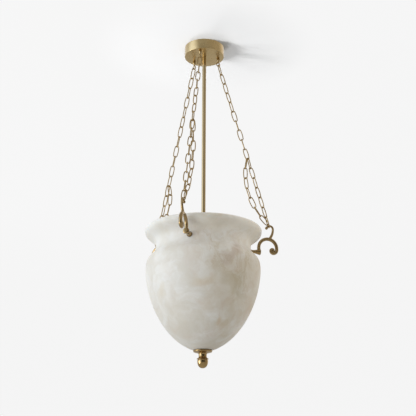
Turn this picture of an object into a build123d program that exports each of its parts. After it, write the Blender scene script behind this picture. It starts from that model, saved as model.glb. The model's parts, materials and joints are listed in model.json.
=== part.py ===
from build123d import *

import os
from math import atan2, cos, degrees, pi, radians, sin, sqrt, tan

# Pendant light: an alabaster bowl hung on three doubled chains from a brass ceiling canopy.
# Millimetres, +Z up. The origin is the centre of the canopy on the ceiling plane, so the
# whole lamp hangs below zero.

os.makedirs("parts", exist_ok=True)

# Clearances
thread_clearance = 0.1
hole_clearance = 0.3
link_clearance = 0.25
hook_clearance = 0.6
bulb_clearance = 0.3

# Arms: the chains, eyes and hooks stand at these angles around the lamp
arm_count = 3
first_arm_angle = 14.0

# Canopy cup
canopy_diameter = 100.0
canopy_height = 26.0
canopy_wall = 1.5
canopy_edge = 0.8

# Ceiling bracket: a strap with two ears bent down inside the canopy
strap_width = 20.0
strap_thickness = 2.0
ear_length = 15.0
ear_clearance = 0.3
mount_hole_diameter = 5.0
mount_hole_spacing = 60.0
canopy_screw_diameter = 4.0
canopy_screw_length = 6.0
canopy_screw_drop = 9.0

# Rod, a brass tube that carries the lampholder and ends a little below the bowl's neck
rod_diameter = 10.0
rod_wall = 1.25
rod_length = 544.0
rod_top_drop = 12.5
rod_boss_diameter = 18.0
rod_boss_height = 6.0
rod_nut_flats = 17.0
rod_nut_height = 5.0
holder_drop = 20.6

# Screw eyes under the canopy
eye_circle_radius = 37.0
eye_wire = 2.4
eye_inner_diameter = 6.2
eye_bead_diameter = 8.6
eye_bead_drop = 3.5
eye_neck_diameter = 4.4
eye_neck_length = 11.6
eye_sink = 1.0
eye_shank_diameter = 4.0
eye_shank_proud = 1.5
eye_nut_flats = 7.0
eye_nut_height = 3.2

# Chain: single links below the eye, then a taut strand and a slack return strand side by side.
# Each chain is caught up at another link, so each arm has its own count of single links.
link_wire = 2.5
link_inner_width = 8.2
link_end_radius = 4.6
taut_links = 17
single_links = [10, 12, 8]
link_wobble = 31.0
strand_gap = 0.3
return_side = 2.0

# Bowl, measured from the neck, where the hooks are fixed
neck_radius = 113.2
rim_radius = 140.0
body_radius = 136.0
seat_radius = 13.7
bowl_wall = 9.5
lip_thickness = 10.0
floor_thickness = 11.0
neck_to_lip = 38.8
neck_to_belly = 54.0
neck_to_base = 248.0
base_slope = 14.9
base_pull = 81.0
belly_pull_low = 72.0
belly_pull_high = 36.0
neck_pull_low = 28.0
neck_pull_high = 23.0
lip_pull = 18.0

# Scroll hooks
hook_overhang = 27.5
hook_rise = 60.2
hook_wire = 4.8
hook_ball_diameter = 7.6
arch_radius = 8.3
arch_sweep = 165.0
finger_heading = 48.0
scroll_wire = 8.2
scroll_eye_diameter = 7.4
scroll_crest = 34.4
crest_radius = 22.8
scroll_drop = 3.5
volute_radii = [9.0, 6.1]
curl_wire = 6.0
curl_radii = [4.1, 3.0]
foot_overhang = 1.4
scroll_inset = 1.0
foot_waist_diameter = 8.4
foot_inner_diameter = 11.0
foot_end_diameter = 15.0
foot_dome = 2.0
rosette_diameter = 13.0
rosette_thickness = 3.0
rosette_round = 1.2
felt_thickness = 1.2

# Hook studs through the neck of the bowl
stud_diameter = 5.0
stud_grip = 12.0
stud_proud = 2.0
inner_washer_diameter = 16.0
inner_washer_thickness = 1.2
stud_nut_flats = 8.0
stud_nut_height = 4.0

# Finial under the bowl
finial_stud_diameter = 8.0
finial_stud_proud = 3.0
finial_stud_depth = 14.0
flange_diameter = 44.0
flange_edge = 3.4
flange_drop = 5.5
flange_neck_diameter = 18.8
flange_neck_height = 5.0
gasket_thickness = 1.0
knob_neck_height = 3.0
knob_collar_diameter = 27.6
knob_collar_height = 3.4
knob_groove_diameter = 22.0
knob_groove_height = 1.2
knob_diameter = 25.0
knob_height = 18.8
knob_shoulder = 5.5
knob_roundness = 0.55
finial_washer_diameter = 26.0
finial_washer_thickness = 1.5
finial_nut_flats = 13.0
finial_nut_height = 6.5

# Lampholder
holder_diameter = 39.0
holder_wall = 1.2
holder_boss_diameter = 16.0
holder_boss_height = 12.0
holder_dome_height = 16.0
holder_skirt_height = 36.0
core_plate_thickness = 11.0
screw_shell_inner_diameter = 26.8
screw_shell_wall = 0.5
screw_shell_depth = 22.0
contact_diameter = 8.0
contact_thickness = 1.0

# Bulb
bulb_cap_length = 25.0
bulb_cap_wall = 0.5
bulb_tip_diameter = 9.5
bulb_tip_height = 3.0
bulb_tip_taper = 30.0
bulb_diameter = 60.0
bulb_length = 88.0
bulb_glass = 1.0
bulb_neck_pull = 34.0

# Wiring in the canopy
wire_diameter = 2.2
wire_bend = 6.6
wire_spacing = 2.6
block_width = 24.0
block_depth = 14.0
block_height = 19.0
block_distance = 14.0
block_round = 1.0
block_entry_depth = 4.0
block_screw_diameter = 2.2
block_screw_height = 1.0
entry_drop = 2.5
earth_wire_x = 7.0
earth_screw_x = 20.0
earth_screw_y = 5.0
earth_screw_diameter = 4.0
earth_screw_head = 8.0
earth_screw_head_height = 2.4
earth_screw_reach = 9.0

# Heights that follow from the sizes above
plate_top_z = canopy_wall - canopy_height
eye_ring_radius = (eye_inner_diameter + eye_wire) / 2
eye_neck_z = -canopy_height - eye_neck_length
eye_centre_z = eye_neck_z + eye_sink - eye_ring_radius - eye_wire / 2
rod_radius = rod_diameter / 2
rod_top_z = -rod_top_drop
rod_end_z = rod_top_z - rod_length

# Chain geometry in the plane of one arm, which is drawn along +X and then turned to its angle.
# The rod sets the height of the bowl, and the links are as long as that height asks for.
link_half_width = (link_inner_width + link_wire) / 2
eye_seat = (eye_wire + link_wire) / 2 + link_clearance
hook_seat = (hook_wire + link_wire) / 2 + hook_clearance
wire_room = link_end_radius - link_wire - link_clearance
strand_offset = (link_wire + strand_gap) / 2
shared_raise = wire_room - sqrt(wire_room**2 - strand_offset**2)
neck_z = rod_end_z + holder_drop
arch_x = rim_radius + hook_overhang
arch_z = neck_z + hook_rise
chain_lean = atan2(arch_x - eye_circle_radius, eye_centre_z - arch_z)
chain_length = (eye_centre_z - arch_z) / cos(chain_lean) - arch_radius - eye_ring_radius
link_slack = (taut_links - 1) * link_clearance + eye_seat + hook_seat + shared_raise
link_inner_length = (chain_length + link_slack - link_wire) / taut_links
link_pitch = link_inner_length - link_clearance
link_reach = link_inner_length + link_wire
chain_down = Vector(sin(chain_lean), 0, -cos(chain_lean))
chain_out = Vector(cos(chain_lean), 0, sin(chain_lean))
eye_point = Vector(eye_circle_radius, 0, eye_centre_z) + chain_down * eye_ring_radius
hook_point = eye_point + chain_down * chain_length
eye_pivot = eye_point - chain_down * (eye_seat / 2)
first_joint = eye_point + chain_down * (link_pitch - eye_seat + (link_wire + link_clearance) / 2)
hook_pivot = hook_point + chain_down * (hook_seat / 2)

lip_z = neck_z + neck_to_lip
belly_z = neck_z - neck_to_belly
base_z = neck_z - neck_to_base

arm_letters = "abc"
arm_angles = [first_arm_angle + 360 / arm_count * i for i in range(arm_count)]


def arm_turn(angle):
    """Turns a piece drawn along +X to the angle of its arm."""
    return Location((0, 0, 0), (0, 0, angle))


def radial_plane(angle, distance, height):
    """A plane square to an arm, at a distance from the lamp's axis."""
    out = Vector(cos(radians(angle)), sin(radians(angle)), 0)
    return Plane(origin=out * distance + Vector(0, 0, height), x_dir=(0, 0, 1), z_dir=out)


# Canopy cup: a spun brass drum, open to the ceiling
canopy_radius = canopy_diameter / 2
canopy_inner_radius = canopy_radius - canopy_wall
with BuildPart() as canopy_cup:
    with BuildSketch(Plane.XY.offset(-canopy_height)):
        Circle(canopy_radius)
    extrude(amount=canopy_height)
    fillet(canopy_cup.edges().group_by(Axis.Z)[0], canopy_edge)
    with BuildSketch(Plane.XY.offset(plate_top_z)):
        Circle(canopy_inner_radius)
    extrude(amount=canopy_height, mode=Mode.SUBTRACT)
    with BuildSketch(Plane.XY.offset(-canopy_height)):
        Circle(rod_radius + thread_clearance)
        with PolarLocations(eye_circle_radius, arm_count, start_angle=first_arm_angle):
            Circle(eye_shank_diameter / 2 + thread_clearance)
    extrude(amount=canopy_wall, mode=Mode.SUBTRACT)
    with BuildSketch(Plane.YZ.offset(-canopy_radius)):
        with Locations((0, -canopy_screw_drop)):
            Circle(canopy_screw_diameter / 2 + thread_clearance)
    extrude(amount=canopy_diameter, mode=Mode.SUBTRACT)
canopy_cup.part.label = "canopy_cup"
export_step(canopy_cup.part, "parts/canopy_cup.step")

# Ceiling bracket: its strap lies on the ceiling and its ears take the canopy screws
ear_face = sqrt((canopy_inner_radius - ear_clearance) ** 2 - (strap_width / 2) ** 2)
with BuildPart() as ceiling_bracket:
    with BuildSketch(Plane.XZ.offset(-strap_width / 2)):
        with BuildLine():
            Polyline(
                (-ear_face, -ear_length),
                (-ear_face, 0),
                (ear_face, 0),
                (ear_face, -ear_length),
                (ear_face - strap_thickness, -ear_length),
                (ear_face - strap_thickness, -strap_thickness),
                (strap_thickness - ear_face, -strap_thickness),
                (strap_thickness - ear_face, -ear_length),
                close=True,
            )
        make_face()
    extrude(amount=strap_width)
    with BuildSketch(Plane.XY.offset(-strap_thickness)):
        with GridLocations(mount_hole_spacing, 0, 2, 1):
            Circle(mount_hole_diameter / 2)
        with Locations((-earth_screw_x, earth_screw_y)):
            Circle(earth_screw_diameter / 2 + thread_clearance)
    extrude(amount=strap_thickness, mode=Mode.SUBTRACT)
    with BuildSketch(Plane.YZ.offset(-ear_face)):
        with Locations((0, -canopy_screw_drop)):
            Circle(canopy_screw_diameter / 2 + thread_clearance)
    extrude(amount=2 * ear_face, mode=Mode.SUBTRACT)
ceiling_bracket.part.label = "ceiling_bracket"
export_step(ceiling_bracket.part, "parts/ceiling_bracket.step")

# Canopy screws: two set screws, flush with the canopy's wall
with BuildPart() as canopy_screws:
    for side in (-1, 1):
        with BuildSketch(Plane.YZ.offset(side * canopy_radius)):
            with Locations((0, -canopy_screw_drop)):
                Circle(canopy_screw_diameter / 2)
        extrude(amount=-side * canopy_screw_length)
canopy_screws.part.label = "canopy_screws"
export_step(canopy_screws.part, "parts/canopy_screws.step")

# Rod boss, soldered to the canopy's floor
with BuildPart() as rod_boss:
    with BuildSketch(Plane.XY.offset(plate_top_z)):
        Circle(rod_boss_diameter / 2)
        Circle(rod_radius + thread_clearance, mode=Mode.SUBTRACT)
    extrude(amount=rod_boss_height)
rod_boss.part.label = "rod_boss"
export_step(rod_boss.part, "parts/rod_boss.step")

# Rod locknut on the boss
with BuildPart() as rod_locknut:
    with BuildSketch(Plane.XY.offset(plate_top_z + rod_boss_height)):
        RegularPolygon(rod_nut_flats / 2, 6, major_radius=False)
        Circle(rod_radius + thread_clearance, mode=Mode.SUBTRACT)
    extrude(amount=rod_nut_height)
rod_locknut.part.label = "rod_locknut"
export_step(rod_locknut.part, "parts/rod_locknut.step")

# Rod
with BuildPart() as rod:
    with BuildSketch(Plane.XY.offset(rod_end_z)):
        Circle(rod_radius)
        Circle(rod_radius - rod_wall, mode=Mode.SUBTRACT)
    extrude(amount=rod_length)
rod.part.label = "rod"
export_step(rod.part, "parts/rod.step")

# Screw eye: shank, ball, neck and ring in one piece
with BuildPart() as eye_model:
    with Locations((eye_circle_radius, 0, -canopy_height - eye_bead_drop)):
        Sphere(eye_bead_diameter / 2)
    split(bisect_by=Plane.XY.offset(-canopy_height), keep=Keep.BOTTOM)
    with BuildSketch(Plane.XY.offset(eye_neck_z)):
        with Locations((eye_circle_radius, 0)):
            Circle(eye_neck_diameter / 2)
    extrude(amount=eye_neck_length - eye_bead_drop)
    with BuildSketch(Plane.XY.offset(-canopy_height - eye_sink)):
        with Locations((eye_circle_radius, 0)):
            Circle(eye_shank_diameter / 2)
    extrude(amount=eye_sink + canopy_wall + eye_nut_height + eye_shank_proud)
    with Locations(Location((eye_circle_radius, 0, eye_centre_z), (90, 0, 0))):
        Torus(eye_ring_radius, eye_wire / 2)

for letter, angle in zip(arm_letters, arm_angles):
    with BuildPart() as canopy_eye:
        with Locations(arm_turn(angle)):
            add(eye_model.part)
    canopy_eye.part.label = f"canopy_eye_{letter}"
    export_step(canopy_eye.part, f"parts/canopy_eye_{letter}.step")

# Eye nuts on the canopy's floor
with BuildPart() as eye_nuts:
    with BuildSketch(Plane.XY.offset(plate_top_z)):
        with PolarLocations(eye_circle_radius, arm_count, start_angle=first_arm_angle):
            RegularPolygon(eye_nut_flats / 2, 6, major_radius=False)
            Circle(eye_shank_diameter / 2 + thread_clearance, mode=Mode.SUBTRACT)
    extrude(amount=eye_nut_height)
eye_nuts.part.label = "eye_nuts"
export_step(eye_nuts.part, "parts/eye_nuts.step")

# One chain link, lying along X with its face up: an oval of two tight arcs and two wide ones
link_end_x = link_reach / 2 - link_end_radius
link_bow = link_half_width - link_end_radius
link_side_radius = (link_end_x**2 + link_bow**2) / (2 * link_bow) + link_end_radius
link_side_turn = degrees(atan2(link_end_x, link_side_radius - link_half_width))
with BuildPart() as link_model:
    with BuildLine() as loop:
        low = JernArc(
            start=(0, -link_half_width), tangent=(1, 0), radius=link_side_radius, arc_size=link_side_turn
        )
        far = JernArc(
            start=low @ 1, tangent=low % 1, radius=link_end_radius, arc_size=180 - 2 * link_side_turn
        )
        high = JernArc(start=far @ 1, tangent=far % 1, radius=link_side_radius, arc_size=2 * link_side_turn)
        near = JernArc(
            start=high @ 1, tangent=high % 1, radius=link_end_radius, arc_size=180 - 2 * link_side_turn
        )
        JernArc(start=near @ 1, tangent=near % 1, radius=link_side_radius, arc_size=link_side_turn)
    with BuildSketch(Plane(origin=loop.line @ 0, z_dir=loop.line % 0)):
        Circle(link_wire / 2)
    sweep()


def link_place(top, bottom, roll):
    """Where a link lies between two points: roll 0 is in the plane of the arm."""
    along = (bottom - top).normalized()
    across = Vector(0, 1, 0).cross(along).normalized()
    square = along.cross(across)
    face = square * cos(radians(roll)) + across * sin(radians(roll))
    return Plane(origin=(top + bottom) / 2, x_dir=along, z_dir=face).location


def taut_link(number, singles):
    """Place of a link of the loaded run, counted from 1 at the eye."""
    top = eye_point - chain_down * (eye_seat - (number - 1) * link_pitch)
    roll = 90 * (number - singles)
    if number <= singles:
        roll = roll + link_wobble * sin(2 * pi * (number - 1) / (singles - 1))
        return link_place(top, top + chain_down * link_reach, roll)
    top = top - chain_down * shared_raise
    bottom = top + chain_down * link_reach
    step = number - singles
    doubles = taut_links - singles
    if step == 1:
        top = top + chain_out * strand_offset
    if step < doubles:
        roll = roll + link_wobble * (step - 1) / (doubles - 2)
    return link_place(top, bottom, roll)


def turn_per_link(chord, count):
    """Angle between neighbours of a slack strand of so many links whose ends are a chord apart."""
    low = 1e-6
    high = pi / count
    for _ in range(60):
        turn = (low + high) / 2
        if link_pitch * sin(count * turn / 2) / sin(turn / 2) > chord:
            low = turn
        else:
            high = turn
    return turn


def return_links(singles):
    """Places of the slack links, on an arc that sags towards the lamp's axis.

    The strand hangs from the last single link and ends above the hook, in the bottom link. Its end
    links lean to the strand's own line, so their joints are found in a few passes.
    """
    count = taut_links - singles
    joint_inset = (link_wire + link_clearance) / 2
    start = eye_point + chain_down * (singles * link_pitch - eye_seat - shared_raise)
    start = start - chain_out * strand_offset
    end = hook_point - chain_down * hook_seat + Vector(0, return_side, 0)
    first_lean = chain_down
    last_lean = chain_down
    for _ in range(5):
        top = start + first_lean * joint_inset
        chord = end - last_lean * joint_inset - top
        turn = degrees(turn_per_link(chord.length, count))
        end_lean = turn * (count - 1) / 2
        first_lean = chord.normalized().rotate(Axis.Y, end_lean)
        last_lean = chord.normalized().rotate(Axis.Y, -end_lean)
    extra_roll = 90 / (count - 1)
    places = []
    for number in range(count):
        along = first_lean.rotate(Axis.Y, -number * turn)
        bottom = top + along * link_pitch
        places.append(link_place(top, bottom, 90 + number * (90 + extra_roll)))
        top = bottom
    return places


for letter, angle, singles in zip(arm_letters, arm_angles, single_links):
    strands = {
        "top_link": [taut_link(1, singles)],
        "upper": [taut_link(n, singles) for n in range(2, singles + 1)],
        "taut": [taut_link(n, singles) for n in range(singles + 1, taut_links)],
        "return": return_links(singles),
        "bottom_link": [taut_link(taut_links, singles)],
    }
    for strand, places in strands.items():
        with BuildPart() as chain:
            with Locations([arm_turn(angle) * place for place in places]):
                add(link_model.part)
        chain.part.label = f"chain_{letter}_{strand}"
        export_step(chain.part, f"parts/chain_{letter}_{strand}.step")


def bowl_curve(inset, base_lift):
    """Side of the bowl from its base to its lip, drawn inwards by the wall."""
    slope = radians(base_slope)
    pull = base_pull - inset
    foot = (seat_radius, base_z + base_lift)
    belly = (body_radius - inset, belly_z)
    neck = (neck_radius - inset, neck_z)
    foot_pull = (foot[0] + pull * cos(slope), foot[1] + pull * sin(slope))
    Bezier(foot, foot_pull, (belly[0], belly[1] - belly_pull_low), belly)
    Bezier(belly, (belly[0], belly[1] + belly_pull_high), (neck[0], neck[1] - neck_pull_low), neck)
    lip_x = rim_radius - (lip_thickness if inset else 0)
    Bezier(neck, (neck[0], neck[1] + neck_pull_high), (lip_x, lip_z - lip_pull), (lip_x, lip_z))


# Alabaster bowl: turned in one piece, with a rounded lip, a pinched neck and a hole in its base
finial_hole_radius = finial_stud_diameter / 2 + hole_clearance
stud_hole_radius = stud_diameter / 2 + hole_clearance
with BuildPart() as bowl:
    with BuildSketch(Plane.XZ):
        with BuildLine():
            bowl_curve(0, 0)
            ThreePointArc(
                (rim_radius, lip_z),
                (rim_radius - lip_thickness / 2, lip_z + lip_thickness / 2),
                (rim_radius - lip_thickness, lip_z),
            )
            bowl_curve(bowl_wall, floor_thickness)
            Polyline(
                (seat_radius, base_z + floor_thickness),
                (finial_hole_radius, base_z + floor_thickness),
                (finial_hole_radius, base_z),
                (seat_radius, base_z),
            )
        make_face()
    revolve(axis=Axis.Z)
    for angle in arm_angles:
        with BuildSketch(radial_plane(angle, 0, neck_z)):
            Circle(stud_hole_radius)
        extrude(amount=rim_radius, mode=Mode.SUBTRACT)
bowl.part.label = "bowl"
export_step(bowl.part, "parts/bowl.step")

# Places along a hook's stud, as distances from the lamp's axis
felt_face = neck_radius + felt_thickness
foot_face = felt_face + rosette_thickness
inner_felt_face = neck_radius - bowl_wall - felt_thickness
nut_face = inner_felt_face - inner_washer_thickness
stud_inner_end = nut_face - stud_nut_height - stud_proud

# Felt washers, outside and inside the neck, pressed to the stone's curve
with BuildPart() as hook_felts:
    for angle in arm_angles:
        with BuildSketch(radial_plane(angle, neck_radius - bowl_wall / 4, neck_z)):
            Circle(rosette_diameter / 2)
            Circle(stud_hole_radius, mode=Mode.SUBTRACT)
        extrude(amount=bowl_wall / 4 + felt_thickness)
        with BuildSketch(radial_plane(angle, inner_felt_face, neck_z)):
            Circle(inner_washer_diameter / 2)
            Circle(stud_hole_radius, mode=Mode.SUBTRACT)
        extrude(amount=bowl_wall / 4 + felt_thickness)
    add(bowl.part, mode=Mode.SUBTRACT)
hook_felts.part.label = "hook_felts"
export_step(hook_felts.part, "parts/hook_felts.step")

# Rosettes, the small rounded flanges between felt and hook
with BuildPart() as hook_rosettes:
    for angle in arm_angles:
        with BuildSketch(radial_plane(angle, felt_face, neck_z)):
            Circle(rosette_diameter / 2)
        extrude(amount=rosette_thickness)
    fillet(hook_rosettes.edges().filter_by(GeomType.CIRCLE), rosette_round)
    for angle in arm_angles:
        with BuildSketch(radial_plane(angle, felt_face, neck_z)):
            Circle(stud_diameter / 2 + thread_clearance)
        extrude(amount=rosette_thickness, mode=Mode.SUBTRACT)
hook_rosettes.part.label = "hook_rosettes"
export_step(hook_rosettes.part, "parts/hook_rosettes.step")

# Hook studs
with BuildPart() as hook_studs:
    for angle in arm_angles:
        with BuildSketch(radial_plane(angle, stud_inner_end, neck_z)):
            Circle(stud_diameter / 2)
        extrude(amount=foot_face + stud_grip - stud_inner_end)
hook_studs.part.label = "hook_studs"
export_step(hook_studs.part, "parts/hook_studs.step")

# Washers and nuts inside the neck
with BuildPart() as hook_washers:
    for angle in arm_angles:
        with BuildSketch(radial_plane(angle, nut_face, neck_z)):
            Circle(inner_washer_diameter / 2)
            Circle(stud_diameter / 2 + thread_clearance, mode=Mode.SUBTRACT)
        extrude(amount=inner_washer_thickness)
hook_washers.part.label = "hook_washers"
export_step(hook_washers.part, "parts/hook_washers.step")

with BuildPart() as hook_nuts:
    for angle in arm_angles:
        with BuildSketch(radial_plane(angle, nut_face - stud_nut_height, neck_z)):
            RegularPolygon(stud_nut_flats / 2, 6, major_radius=False)
            Circle(stud_diameter / 2 + thread_clearance, mode=Mode.SUBTRACT)
        extrude(amount=stud_nut_height)
hook_nuts.part.label = "hook_nuts"
export_step(hook_nuts.part, "parts/hook_nuts.step")

# Scroll hook: a cast foot, a scrolled arm and a thin finger that the chain hangs on
foot_end = rim_radius + foot_overhang
foot_length = foot_end - foot_face
scroll_start_x = rim_radius - scroll_inset
crest_z = neck_z + scroll_crest
finger_radius = (arch_z - crest_z) / cos(radians(finger_heading))
finger_x = arch_x + arch_radius - finger_radius * (1 - sin(radians(finger_heading)))
with BuildPart() as hook_model:
    with BuildSketch(Plane.XZ):
        with BuildLine():
            Bezier(
                (foot_face, neck_z + foot_inner_diameter / 2),
                (foot_face + foot_length / 4, neck_z + foot_waist_diameter / 2 - foot_dome),
                (foot_face + foot_length / 2, neck_z + foot_waist_diameter / 2),
                (foot_end, neck_z + foot_end_diameter / 2),
            )
            Bezier(
                (foot_end, neck_z + foot_end_diameter / 2),
                (foot_end + foot_dome, neck_z + foot_end_diameter / 2),
                (foot_end + foot_dome, neck_z + foot_end_diameter / 4),
                (foot_end + foot_dome, neck_z),
            )
            Polyline(
                (foot_end + foot_dome, neck_z),
                (foot_face, neck_z),
                (foot_face, neck_z + foot_inner_diameter / 2),
            )
        make_face()
    revolve(axis=Axis((0, 0, neck_z), (1, 0, 0)))
    with BuildLine(Plane.XZ) as scroll:
        rise = Line((scroll_start_x, neck_z), (scroll_start_x, crest_z - crest_radius))
        crest = JernArc(start=rise @ 1, tangent=rise % 1, radius=crest_radius, arc_size=-180)
        run = Line(crest @ 1, (crest @ 1) + Vector(0, 0, -scroll_drop))
        for radius in volute_radii:
            run = JernArc(start=run @ 1, tangent=run % 1, radius=radius, arc_size=-90)
    with BuildSketch(Plane(origin=scroll.line @ 0, z_dir=scroll.line % 0)):
        Circle(scroll_wire / 2)
    sweep()
    with BuildLine(Plane.XZ) as curl:
        turn = run
        for radius in curl_radii:
            turn = JernArc(start=turn @ 1, tangent=turn % 1, radius=radius, arc_size=-90)
    with BuildSketch(Plane(origin=curl.line @ 0, z_dir=curl.line % 0)):
        Circle(curl_wire / 2)
    sweep()
    with Locations(curl.line @ 1):
        Sphere(scroll_eye_diameter / 2)
    with BuildLine(Plane.XZ) as finger:
        heading = radians(finger_heading)
        stem = JernArc(
            start=Vector(finger_x, 0, crest_z),
            tangent=Vector(cos(heading), 0, sin(heading)),
            radius=finger_radius,
            arc_size=90 - finger_heading,
        )
        JernArc(start=stem @ 1, tangent=stem % 1, radius=arch_radius, arc_size=arch_sweep)
    with BuildSketch(Plane(origin=finger.line @ 0, z_dir=finger.line % 0)):
        Circle(hook_wire / 2)
    sweep()
    with Locations(finger.line @ 1):
        Sphere(hook_ball_diameter / 2)
    with BuildSketch(radial_plane(0, foot_face, neck_z)):
        Circle(stud_diameter / 2 + thread_clearance)
    extrude(amount=stud_grip, mode=Mode.SUBTRACT)

for letter, angle in zip(arm_letters, arm_angles):
    with BuildPart() as scroll_hook:
        with Locations(arm_turn(angle)):
            add(hook_model.part)
    scroll_hook.part.label = f"scroll_hook_{letter}"
    export_step(scroll_hook.part, f"parts/scroll_hook_{letter}.step")

# Finial gasket: a dished felt ring under the bowl's base
flange_radius = flange_diameter / 2
base_rise = (flange_radius - seat_radius) * tan(radians(base_slope))
with BuildPart() as finial_gasket:
    with BuildSketch(Plane.XZ):
        with BuildLine():
            Polyline(
                (finial_hole_radius, base_z),
                (seat_radius, base_z),
                (flange_radius, base_z + base_rise),
                (flange_radius, base_z + base_rise - gasket_thickness),
                (seat_radius, base_z - gasket_thickness),
                (finial_hole_radius, base_z - gasket_thickness),
                close=True,
            )
        make_face()
    revolve(axis=Axis.Z)
    add(bowl.part, mode=Mode.SUBTRACT)
finial_gasket.part.label = "finial_gasket"
export_step(finial_gasket.part, "parts/finial_gasket.step")

# Finial flange: a dished disc that draws in to a round neck
flange_top_z = base_z - gasket_thickness
flange_rim_z = flange_top_z + base_rise
flange_neck_z = flange_rim_z - flange_edge - flange_drop
flange_end_z = flange_neck_z - flange_neck_height
finial_bore_radius = finial_stud_diameter / 2 + thread_clearance
with BuildPart() as finial_flange:
    with BuildSketch(Plane.XZ):
        with BuildLine():
            Polyline(
                (finial_bore_radius, flange_end_z),
                (finial_bore_radius, flange_top_z),
                (seat_radius, flange_top_z),
                (flange_radius, flange_rim_z),
                (flange_radius, flange_rim_z - flange_edge),
            )
            Bezier(
                (flange_radius, flange_rim_z - flange_edge),
                (flange_neck_diameter / 2, flange_rim_z - flange_edge - flange_drop / 4),
                (flange_neck_diameter / 2, flange_neck_z + flange_drop / 4),
                (flange_neck_diameter / 2, flange_neck_z),
            )
            Polyline(
                (flange_neck_diameter / 2, flange_neck_z),
                (flange_neck_diameter / 2, flange_end_z),
                (finial_bore_radius, flange_end_z),
            )
        make_face()
    revolve(axis=Axis.Z)
finial_flange.part.label = "finial_flange"
export_step(finial_flange.part, "parts/finial_flange.step")

# Finial knob: a short neck, a collar, a groove and an acorn body. The pull of the collar's
# curve is the one that brings its middle out to the collar's diameter.
collar_z = flange_end_z - knob_neck_height
groove_z = collar_z - knob_collar_height
acorn_z = groove_z - knob_groove_height
knob_tip_z = acorn_z - knob_height
knob_belly_z = acorn_z - knob_shoulder
knob_radius = knob_diameter / 2
groove_radius = knob_groove_diameter / 2
collar_pull = (4 * knob_collar_diameter - flange_neck_diameter / 2 - groove_radius) / 6
with BuildPart() as finial_knob:
    with BuildSketch(Plane.XZ):
        with BuildLine():
            Polyline(
                (0, flange_end_z),
                (flange_neck_diameter / 2, flange_end_z),
                (flange_neck_diameter / 2, collar_z),
            )
            Bezier(
                (flange_neck_diameter / 2, collar_z),
                (collar_pull, collar_z),
                (collar_pull, groove_z),
                (groove_radius, groove_z),
            )
            Line((groove_radius, groove_z), (groove_radius, acorn_z))
            Bezier(
                (groove_radius, acorn_z),
                (knob_radius, acorn_z),
                (knob_radius, acorn_z),
                (knob_radius, knob_belly_z),
            )
            Bezier(
                (knob_radius, knob_belly_z),
                (knob_radius, knob_tip_z + (knob_belly_z - knob_tip_z) * (1 - knob_roundness)),
                (knob_radius * knob_roundness, knob_tip_z),
                (0, knob_tip_z),
            )
            Line((0, knob_tip_z), (0, flange_end_z))
        make_face()
    revolve(axis=Axis.Z)
    with BuildSketch(Plane.XY.offset(flange_end_z)):
        Circle(finial_bore_radius)
    extrude(amount=-finial_stud_depth - hole_clearance, mode=Mode.SUBTRACT)
finial_knob.part.label = "finial_knob"
export_step(finial_knob.part, "parts/finial_knob.step")

# Washer, nut and stud that clamp the finial through the base
floor_z = base_z + floor_thickness
with BuildPart() as finial_washer:
    with BuildSketch(Plane.XY.offset(floor_z)):
        Circle(finial_washer_diameter / 2)
        Circle(finial_bore_radius, mode=Mode.SUBTRACT)
    extrude(amount=finial_washer_thickness)
finial_washer.part.label = "finial_washer"
export_step(finial_washer.part, "parts/finial_washer.step")

with BuildPart() as finial_nut:
    with BuildSketch(Plane.XY.offset(floor_z + finial_washer_thickness)):
        RegularPolygon(finial_nut_flats / 2, 6, major_radius=False)
        Circle(finial_bore_radius, mode=Mode.SUBTRACT)
    extrude(amount=finial_nut_height)
finial_nut.part.label = "finial_nut"
export_step(finial_nut.part, "parts/finial_nut.step")

finial_stud_top_z = floor_z + finial_washer_thickness + finial_nut_height + finial_stud_proud
with BuildPart() as finial_stud:
    with BuildSketch(Plane.XY.offset(flange_end_z - finial_stud_depth)):
        Circle(finial_stud_diameter / 2)
    extrude(amount=finial_stud_top_z - flange_end_z + finial_stud_depth)
finial_stud.part.label = "finial_stud"
export_step(finial_stud.part, "parts/finial_stud.step")

# Lampholder cap: a boss screwed on the rod and a dome
holder_radius = holder_diameter / 2
holder_boss_radius = holder_boss_diameter / 2
cap_top_z = rod_end_z + holder_boss_height
dome_z = rod_end_z
skirt_z = dome_z - holder_dome_height
skirt_end_z = skirt_z - holder_skirt_height
with BuildPart() as lampholder_cap:
    with BuildSketch(Plane.XZ):
        with BuildLine():
            bore = rod_radius + thread_clearance
            Polyline((bore, dome_z - holder_wall), (bore, cap_top_z), (holder_boss_radius, cap_top_z))
            Line((holder_boss_radius, cap_top_z), (holder_boss_radius, dome_z))
            Bezier(
                (holder_boss_radius, dome_z),
                (holder_radius, dome_z),
                (holder_radius, dome_z),
                (holder_radius, skirt_z),
            )
            Line((holder_radius, skirt_z), (holder_radius - holder_wall, skirt_z))
            Bezier(
                (holder_radius - holder_wall, skirt_z),
                (holder_radius - holder_wall, dome_z - holder_wall),
                (holder_radius - holder_wall, dome_z - holder_wall),
                (holder_boss_radius, dome_z - holder_wall),
            )
            Line((holder_boss_radius, dome_z - holder_wall), (bore, dome_z - holder_wall))
        make_face()
    revolve(axis=Axis.Z)
lampholder_cap.part.label = "lampholder_cap"
export_step(lampholder_cap.part, "parts/lampholder_cap.step")

# Lampholder skirt
with BuildPart() as lampholder_skirt:
    with BuildSketch(Plane.XY.offset(skirt_end_z)):
        Circle(holder_radius)
        Circle(holder_radius - holder_wall, mode=Mode.SUBTRACT)
    extrude(amount=holder_skirt_height)
lampholder_skirt.part.label = "lampholder_skirt"
export_step(lampholder_skirt.part, "parts/lampholder_skirt.step")

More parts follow.
